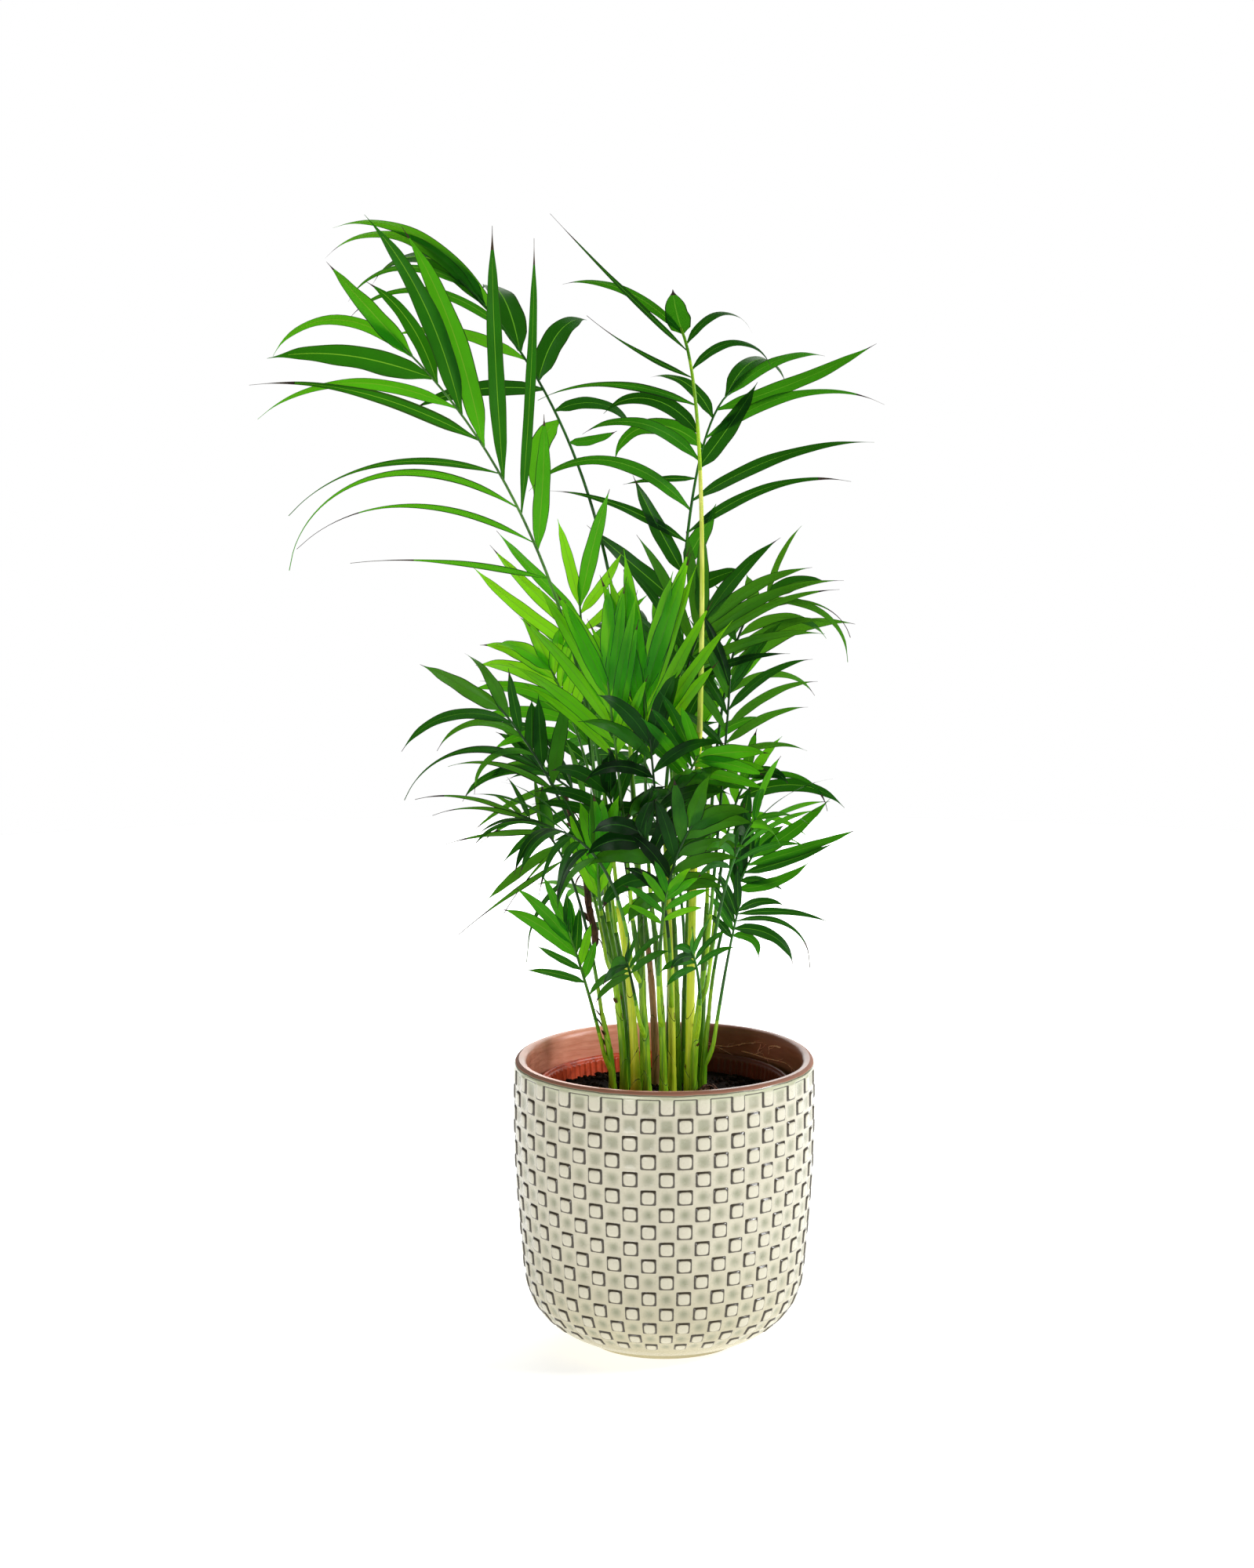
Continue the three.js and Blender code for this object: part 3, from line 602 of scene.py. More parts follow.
# The finishes of each age: three greens, lit, even and shaded as painted light and shade, and those
# of MIDRIB, MARGIN and BROWN_TIP.
MIDRIB, MARGIN, BROWN_TIP = 3, 4, 5
LEAF_FINISHES: dict[Tint, tuple[Finish, ...]] = {
    YOUNG: (
        LeafFinish("young_leaf_bright", "4ab013", "349a0e", "96e41c", 0.54),
        LeafFinish("young_leaf_even", "2a8a10", "1e720c", "64c416", 0.46),
        LeafFinish("young_leaf_shaded", "12540a", "0a3e08", "3c920c", 0.38),
        LeafFinish("young_midrib", "58982a", "44841e", "88c42c", 0.44),
        LeafFinish("young_margin", "224e14", "183a0e", "406c14", 0.30),
        DryFinish("young_dry_tip", "54452c", "33281a"),
    ),
    GROWN: (
        LeafFinish("leaf_bright", "2f8a14", "1c6a0e", "64ba14", 0.46),
        LeafFinish("leaf_even", "19640d", "0e4c0a", "44980e", 0.41),
        LeafFinish("leaf_shaded", "0d400c", "072e08", "2a7009", 0.34),
        LeafFinish("leaf_midrib", "40882a", "2c701c", "74b428", 0.42),
        LeafFinish("leaf_margin", "1a3c12", "12280c", "345812", 0.26),
        DryFinish("leaf_dry_tip", "4c3c2a", "2a2018"),
    ),
    OLD: (
        LeafFinish("old_leaf_bright", "2a701a", "1a5614", "589c18", 0.40),
        LeafFinish("old_leaf_even", "11460e", "09340b", "2e740e", 0.34),
        LeafFinish("old_leaf_shaded", "072c0a", "041f07", "1a560a", 0.28),
        LeafFinish("old_midrib", "2c6c1c", "1e5814", "5c9420", 0.36),
        LeafFinish("old_margin", "182c12", "0e1c0c", "2a4212", 0.22),
        DryFinish("old_dry_tip", "42342a", "221a16"),
    ),
}
STEM_FINISHES = (
    StalkFinish("stem_green", "a0d024", "5c9a10"),
    StalkFinish("stem_lime", "e0ea44", "b0cc20"),
    StalkFinish("stem_tan", "b08458", "7c5632"),
    # A deeper green: painted shade on the stems farther back, and the colour high on the stems.
    StalkFinish("stem_deep_and_shaded", "5c9414", "2e600a"),
    DryFinish("sheath_seam", "4c6a18", "2c3c10"),
    DryFinish("node_scar", "6b4a22", "3a2412"),
)
LIME, TAN, DEEP_AND_SHADED, SEAM, SCAR = range(1, 6)
# The rachises' greens, in the order of Tint, and a petiole's from its foot up.
STALK_FINISHES = (
    StalkFinish("young_rachis", "48861c", "2c5e14"),
    StalkFinish("rachis", "2a6e14", "194c10"),
    StalkFinish("old_rachis", "1a4e10", "10340c"),
    StalkFinish("petiole_pale", "e6e878", "bccc44"),
    StalkFinish("petiole_foot", "a8d42a", "74ac16"),
    StalkFinish("petiole_low", "6caa1c", "468810"),
    StalkFinish("petiole_high", "3c8216", "26620e"),
)


# ---- curves, bodies and room
class Bend:
    """A quadratic curve through space, read by share of its length."""

    DIVISIONS = 200

    def __init__(self, foot: Array | Triple, knee: Array | Triple, tip: Array | Triple) -> None:
        """Lays the curve from foot to tip, drawn towards the knee."""
        self.foot, self.knee, self.tip = (np.asarray(p, float) for p in (foot, knee, tip))
        self.times = shares(self.DIVISIONS + 1)
        self.lengths = travelled(self._point(self.times))

    def _point(self, t: Array) -> Array:
        """Points at the curve's own parameter."""
        t = np.asarray(t, float)[..., None]
        return (1 - t) ** 2 * self.foot + 2 * t * (1 - t) * self.knee + t * t * self.tip

    def _time(self, share: Numbers) -> Array:
        """The curve's own parameter at a share of its length."""
        return np.interp(np.asarray(share, float) * self.lengths[-1], self.lengths, self.times)

    def at(self, share: Numbers) -> Array:
        """The point, or points, at a share of the length."""
        return self._point(self._time(share))

    def along(self, share: Numbers) -> Array:
        """The direction, or directions, at a share of the length."""
        t = self._time(share)[..., None]
        return unit((1 - t) * (self.knee - self.foot) + t * (self.tip - self.knee))

    def on_chord(self, share: float) -> Array:
        """The point at a share of the length on the straight chords of the solid's rachis."""
        corners = self.at(shares(RACHIS_STEPS + 1))
        k = min(RACHIS_STEPS - 1, math.floor(share * RACHIS_STEPS))
        return corners[k] + (corners[k + 1] - corners[k]) * (share * RACHIS_STEPS - k)


def frames(ways: Array) -> tuple[Array, Array]:
    """Two directions square to each of the ways, turning no more than they must.

    Args:
        ways: Unit directions along a line, one a row.

    Returns:
        The first and the second cross direction at each.
    """
    first = ways[0]
    least = 2 - int(np.argmin(np.abs(first)[::-1]))
    normal = np.cross(first, unit(np.cross(first, np.eye(3)[least])))
    normals = [normal]
    for before, after in zip(ways, ways[1:]):
        axis = np.cross(before, after)
        size = np.linalg.norm(axis)
        if size > 1e-9:
            bend = math.acos(np.clip(np.dot(before, after), -1, 1))
            normal = turned(normal, axis / size, bend)
        normals.append(normal)
    return np.array(normals), np.cross(ways, normals)


def tube(centres: Array, ways: Array, radii: Array, sides: int) -> Array:
    """Rings of points along a line.

    Args:
        centres: The line's points.
        ways: Its unit directions.
        radii: A radius for each point, or for each point and side.
        sides: How many points a ring has.

    Returns:
        An array of rows x sides x 3.
    """
    across, up = frames(ways)
    a = around(sides)[:, None]
    out = across[:, None] * np.cos(a) + up[:, None] * np.sin(a)
    radii = np.broadcast_to(np.reshape(radii, (len(centres), -1)), (len(centres), sides))
    return centres[:, None] + out * radii[..., None]


@dataclass
class Body:
    """A closed faceted shape that takes up room."""

    points: Array
    faces: list[tuple[int, ...]]

    @classmethod
    def limb(cls, curve: Bend, sides: int, radii: Array) -> "Body":
        """A tapering limb along a curve, with flat ends and a ring for each radius.

        Args:
            curve: Its middle line.
            sides: How many sides it has.
            radii: Its radius at each of its rings.

        Returns:
            The limb.
        """
        along = shares(len(radii))
        rings = tube(curve.at(along), curve.along(along), radii, sides)
        steps = len(radii) - 1
        faces = [tuple(range(sides - 1, -1, -1)), tuple(steps * sides + i for i in range(sides))]
        for low in range(0, steps * sides, sides):
            for i in range(sides):
                n = (i + 1) % sides
                faces.append((low + i, low + n, low + sides + n, low + sides + i))
        return cls(rings.reshape(-1, 3), faces)

    @classmethod
    def blade(
        cls, line: "Midline", face: Array, width: float, thickness: float, spans: int
    ) -> "Body":
        """A leaflet's solid: flat on top, keeled below, pointed at both ends.

        Args:
            line: Its midrib.
            face: The way its upper side looks at its foot.
            width: Its full width.
            thickness: Its thickness at the midrib.
            spans: How many lengths it is made of.

        Returns:
            The solid.
        """
        points = [line.points[0]]
        for i in range(1, spans):
            k = math.floor(i / spans * MIDLINE_STEPS * (0.8 if spans == 2 else 0.92) + 0.5)
            s = k / MIDLINE_STEPS
            point, top = line.points[k], leaning(face, line.ways[k], s)
            aside = np.cross(line.ways[k], top) * (width * outline(s) / 2)
            lift, keel = top * thickness * 0.3, top * thickness * 0.7
            points += [point + aside + lift, point - aside + lift, point - keel]
        points.append(line.points[-1])
        last = len(points) - 1
        faces: list[tuple[int, ...]] = []
        for j in range(3):
            n = (j + 1) % 3
            faces.append((0, 1 + j, 1 + n))
            for a in range(1, 3 * spans - 5, 3):
                faces += [(a + j, a + 3 + j, a + 3 + n), (a + j, a + 3 + n, a + n)]
            faces.append((last - 3 + j, last, last - 3 + n))
        return cls(np.array(points), faces)


@dataclass
class Room:
    """Everything that already stands in the plant's space."""

    standing: list[tuple[str, Array, Array, BVHTree]] = field(default_factory=list)

    @staticmethod
    def _tree(body: Body) -> BVHTree:
        """A search tree over the body's faces."""
        return BVHTree.FromPolygons([tuple(p) for p in body.points], body.faces)

    def stand(self, owner: str, body: Body) -> None:
        """Puts a body where it stays."""
        self.standing.append((owner, body.points.min(0), body.points.max(0), self._tree(body)))

    def is_free(self, owner: str, body: Body) -> bool:
        """Tells whether a body meets nothing that belongs to another piece.

        Args:
            owner: The piece that the body belongs to.
            body: What looks for room.

        Returns:
            Whether it has room.
        """
        low, high = body.points.min(0), body.points.max(0)
        tree = None
        for other, other_low, other_high, other_tree in self.standing:
            if other == owner or (other_low > high).any() or (other_high < low).any():
                continue
            tree = tree or self._tree(body)
            if tree.overlap(other_tree):
                return False
        return True


# ---- leaflets
def outline(s: Numbers) -> Array:
    """Share of a leaflet's full width at share s of its length."""
    widest = 0.36
    s = np.asarray(s, float)
    reach = np.where(s < widest, 0.46, 0.66)
    return np.maximum(0, 1 - ((s - widest) / reach) ** 2) ** 0.9


def leaning(face: Array, way: Array, s: Numbers) -> Array:
    """The way a leaflet's upper side looks at share s: more and more to the sky."""
    lean = 0.10 + 0.5 * np.asarray(s, float)[..., None]
    return square(face * (1 - lean) + UP * lean, way)


@dataclass
class Midline:
    """The line of a leaflet's midrib."""

    points: Array
    ways: Array

    @classmethod
    def grown(cls, start: Array, heading: Array, droop: float, length: float) -> "Midline":
        """Sets off along the heading and turns towards the ground as it goes out.

        Args:
            start: Where it springs from.
            heading: The unit direction it sets off in.
            droop: How far it would turn if level, in radians.
            length: Its length.

        Returns:
            The line.
        """
        fall = DOWN - heading * np.dot(DOWN, heading)
        slope = float(np.linalg.norm(fall))
        fall = fall / slope
        most = max(0.0, math.acos(np.clip(np.dot(heading, DOWN), -1, 1)) - 0.1)
        gone = np.arange(MIDLINE_STEPS + 1) / MIDLINE_STEPS
        angle = np.minimum(droop * slope * gone ** 1.5, most)[:, None]
        ways = heading * np.cos(angle) + fall * np.sin(angle)
        steps = ways[1:] * length / MIDLINE_STEPS
        return cls(np.vstack([start, start + np.cumsum(steps, axis=0)]), ways)

    def smooth(self, s: Array) -> tuple[Array, Array]:
        """Points and directions at many shares, on a smooth curve through the line's points.

        Args:
            s: Shares of its length.

        Returns:
            The points and the unit directions there.
        """
        p = self.points
        ends = np.vstack([2 * p[0] - p[1], p, 2 * p[-1] - p[-2]])
        place = np.clip(s, 0, 1) * MIDLINE_STEPS
        k = np.minimum(MIDLINE_STEPS - 1, np.floor(place).astype(int))
        t = (place - k)[:, None]
        a, b, c, d = (ends[k + n] for n in range(4))
        second, third = 2 * a - 5 * b + 4 * c - d, 3 * b - a - 3 * c + d
        points = 0.5 * (2 * b + (c - a) * t + second * t ** 2 + third * t ** 3)
        ways = 0.5 * ((c - a) + 2 * second * t + 3 * third * t ** 2)
        return points, unit(ways)


@dataclass
class Leaflet:
    """One leaflet that has found its room."""

    tint: Tint
    line: Midline
    top: Array
    width: float
    length: float
    to_curve: Array         # from the chord that the solid springs from to the round rachis
    light: float            # how much lighter its greens are than its age's, towards the lit one: painted light
    code: tuple[int, int]   # its own place in the repeatable numbers

    # Places across the blade, as shares of its half width; the first bounds the midrib.
    HALF = (0.04, 0.15, 0.32, 0.5, 0.7, 0.91, 1)
    ACROSS = np.array([*(-c for c in reversed(HALF)), *HALF])
    RIB = len(HALF) - 1
    RIB_END = 0.86         # share of the blade at which the midrib fades
    SHADES = (0.35, -0.4)   # lightness under which it has its second, third green: the even, then the shaded one

    @property
    def slender(self) -> float:
        """How thread-like it is: 1 for a narrow one that reaches out sideways."""
        upright = ease(0.55, 0.85, self.line.ways[0, 2])
        return float((1 - ease(0.045, 0.085, self.width / self.length)) * (1 - upright))

    def rows(self) -> int:
        """How many spans the blade has along its length."""
        return 16 if self.length < 45 else 22 if self.length < 85 else 30

    def sheet(self) -> tuple[Array, Array]:
        """The blade as a fine sheet.

        Returns:
            Its points, rows x columns x 3, and the finish of each face.
        """
        i, j = self.code
        s = shares(self.rows() + 1) ** 0.94
        centres, ways = self.line.smooth(s)
        centres = centres + self.to_curve * ((1 - s) ** 2)[:, None]
        up = leaning(self.top, ways, s)
        roll = math.radians(14) * wobble(i, j, 6) * ease(0.15, 1, s)[:, None]
        flat = np.cross(ways, up)
        across = flat * np.cos(roll) + up * np.sin(roll)
        top = up * np.cos(roll) - flat * np.sin(roll)

        pinch = 0.3 + 0.7 * ease(-0.02, 0.16, s)
        drawn = (1 - 0.8 * ease(0.79, 1.0, s)) * (1 - 0.72 * self.slender * ease(0.3, 0.8, s))
        half = self.width * outline(s) * pinch * drawn / 2
        ripple = 1 + 0.035 * np.sin(s * 21 + 6 * wobble(i, j, 7))
        half = np.maximum(half * ripple, 0.12 + 0.1 * self.slender)[:, None]

        fold = math.tan(math.radians(between((20, 7), 0.5 + 0.5 * wobble(i, j, 8))))
        c = self.ACROSS[None, :]
        x = c * half
        folded = -np.abs(x) * fold * (1 - 0.55 * s)[:, None]
        cupped = 0.10 * half * c ** 2
        pleat = 0.085 * np.where(np.arange(c.size) % 2, 1, -1)[None, :] * (1 - np.abs(c)) ** 0.3
        pleat = pleat * np.minimum(1, half / 2.5)
        wave = 0.06 * half * np.abs(c) * np.sin(s * 17 + 3 * wobble(i, j, 9))[:, None]
        z = folded + cupped + pleat + wave
        points = centres[:, None] + across[:, None] * x[..., None] + top[:, None] * z[..., None]
        return points, self._marks(s)

    def _marks(self, s: Array) -> Array:
        """The finish of each face: one of three greens, lit, even or shaded as painted light and
        shade, or midrib, margin or dry tip.

        Args:
            s: Shares of its length at its rows.

        Returns:
            A number of a finish for each face.
        """
        i, j = self.code
        pick = wobble(i, j, 11) + self.light
        shade = sum(pick <= limit for limit in self.SHADES)
        marks = np.full((len(s) - 1, len(self.ACROSS) - 1), shade)
        marks[: int(self.RIB_END * len(s)), self.RIB] = MIDRIB
        edge = 2 if self.slender > 0.5 else 1
        marks[:, :edge] = marks[:, -edge:] = MARGIN
        if wobble(i, j, 12) > -0.6:
            marks[s[1:] > 0.95 - 0.22 * self.slender - 0.02 * wobble(i, j, 13)] = BROWN_TIP
        return marks


# ---- the plant's sizes
@dataclass(frozen=True)
class Stem:
    """A stem: its foot on the soil, how far its top leans over, and its height."""

    foot: Pair
    lean: Pair
    height: float
    girth: float = 1.0

    FLARE = 0.7        # how much wider its foot is, over its lowest ninth

    @property
    def low(self) -> Array:
        """The middle of its foot."""
        return np.array([*self.foot, SOIL_TOP + GAP])

    @property
    def high(self) -> Array:
        """The middle of its top."""
        return self.low + np.array([*self.lean, self.height])

    @property
    def axis(self) -> Array:
        """The direction from foot to top."""
        return unit(self.high - self.low)

    def curve(self) -> Bend:
        """Its middle line: upright at the soil, leaning out as it rises."""
        return Bend(self.low, self.low + UP * self.height * 0.5, self.high)

    def radius(self, share: Numbers) -> Array:
        """Its radius at a share of its height, flared at the soil."""
        share = np.asarray(share, float)
        taper = (STEM_BASE + (STEM_TIP - STEM_BASE) * share) / 2
        return self.girth * (taper + np.maximum(0, 1 - 9 * share) * self.FLARE)


@dataclass(frozen=True)
class Habit:
    """How one side's leaflets grow: length, angle from the rachis, droop and width, foot to tip."""

    leaf: Row
    spread: Row
    droop: Row
    wide: Row = ()


@dataclass(frozen=True)
class Frond:
    """A frond: its stem and how far up that it grows, its tip, its bow and where its face looks.

    pairs counts its pairs of leaflets, bare is the share of it without them, right is the right
    side's habit where that isn't as the left's, later moves that side's leaflets up it, and light
    makes its greens lighter than others of its age: it leans its leaflets towards the lit green and
    away from the shaded one, as painted light and shade.
    """

    name: str
    stem: str
    tip: Triple
    bow: float
    face: Pair
    pairs: int
    bare: float
    tint: Tint
    left: Habit
    right: Habit | None = None
    at: float = 1.0
    girth: float = 1.0
    later: float = 0.3
    light: float = 0.0
    wide: Row = ()

    SIDE_GAP = 1.2     # between a stem and the foot of a petiole at its side
    TOP_GAP = GAP + 0.3    # and that of one at its top
    JUT = 4            # of a side petiole's knee away from the stem

    @property
    def facing(self) -> Array:
        """The direction its upper face looks."""
        azimuth, elevation = (math.radians(a) for a in self.face)
        return spoke(azimuth) * math.cos(elevation) + UP * math.sin(elevation)

    def radius(self, share: Numbers) -> Array:
        """Its stalk's radius at a share of its length."""
        return self.girth * (PETIOLE + (RACHIS_TIP - PETIOLE) * np.asarray(share, float)) / 2

    def curve(self, shift: Array, spin: float) -> Bend:
        """Its middle line, with its knee moved by shift and its start turned round the stem.

        Args:
            shift: How far its knee is moved.
            spin: How far its start is turned, in degrees.

        Returns:
            The line.
        """
        stem = STEMS[self.stem]
        tip = np.array(self.tip, float)
        start = stem.low + (stem.high - stem.low) * self.at
        out = turned(unit((tip - start) * (1, 1, 0)), UP, math.radians(spin))
        if self.at < 1:
            start = start + out * (float(stem.radius(self.at)) + PETIOLE / 2 + self.SIDE_GAP)
        else:
            start = start + stem.axis * self.TOP_GAP
        knee = start + stem.axis * np.linalg.norm(tip - start) * self.bow
        return Bend(start, knee + out * (self.JUT if self.at < 1 else 0) + shift, tip)


STEMS: dict[str, Stem] = {
    "a": Stem((-27.5, -7), (-6, 0), 45),
    "b": Stem((-15.5, -17), (-9, -4), 105, girth=1.2),
    "c": Stem((-20, 10), (-10, 8), 90),
    "d": Stem((-11, -2), (-7, 4), 180),
    "e": Stem((-9, -25), (-8, -4), 100),
    "f": Stem((-4.5, 20), (-9, 10), 110),
    "g": Stem((4.2, -11), (-4, 0), 140),
    "h": Stem((3, 7), (4, 4), 210),
    "i": Stem((-0.5, -22), (-7, -4), 110),
    "j": Stem((11, 24), (3, 10), 110),
    "k": Stem((7, -4), (-3.5, -2), 120),
    "l": Stem((13.5, -6), (4.5, -21), 203, girth=1.2),
    "m": Stem((15, -20), (7, -4), 80),
    "n": Stem((20.5, -11), (3, -1), 45),
    "o": Stem((20, 12), (3, 6), 100),
    "p": Stem((-18, 27), (-8, 10), 80),
    "q": Stem((-21.5, -13), (-12, -3), 100),
}

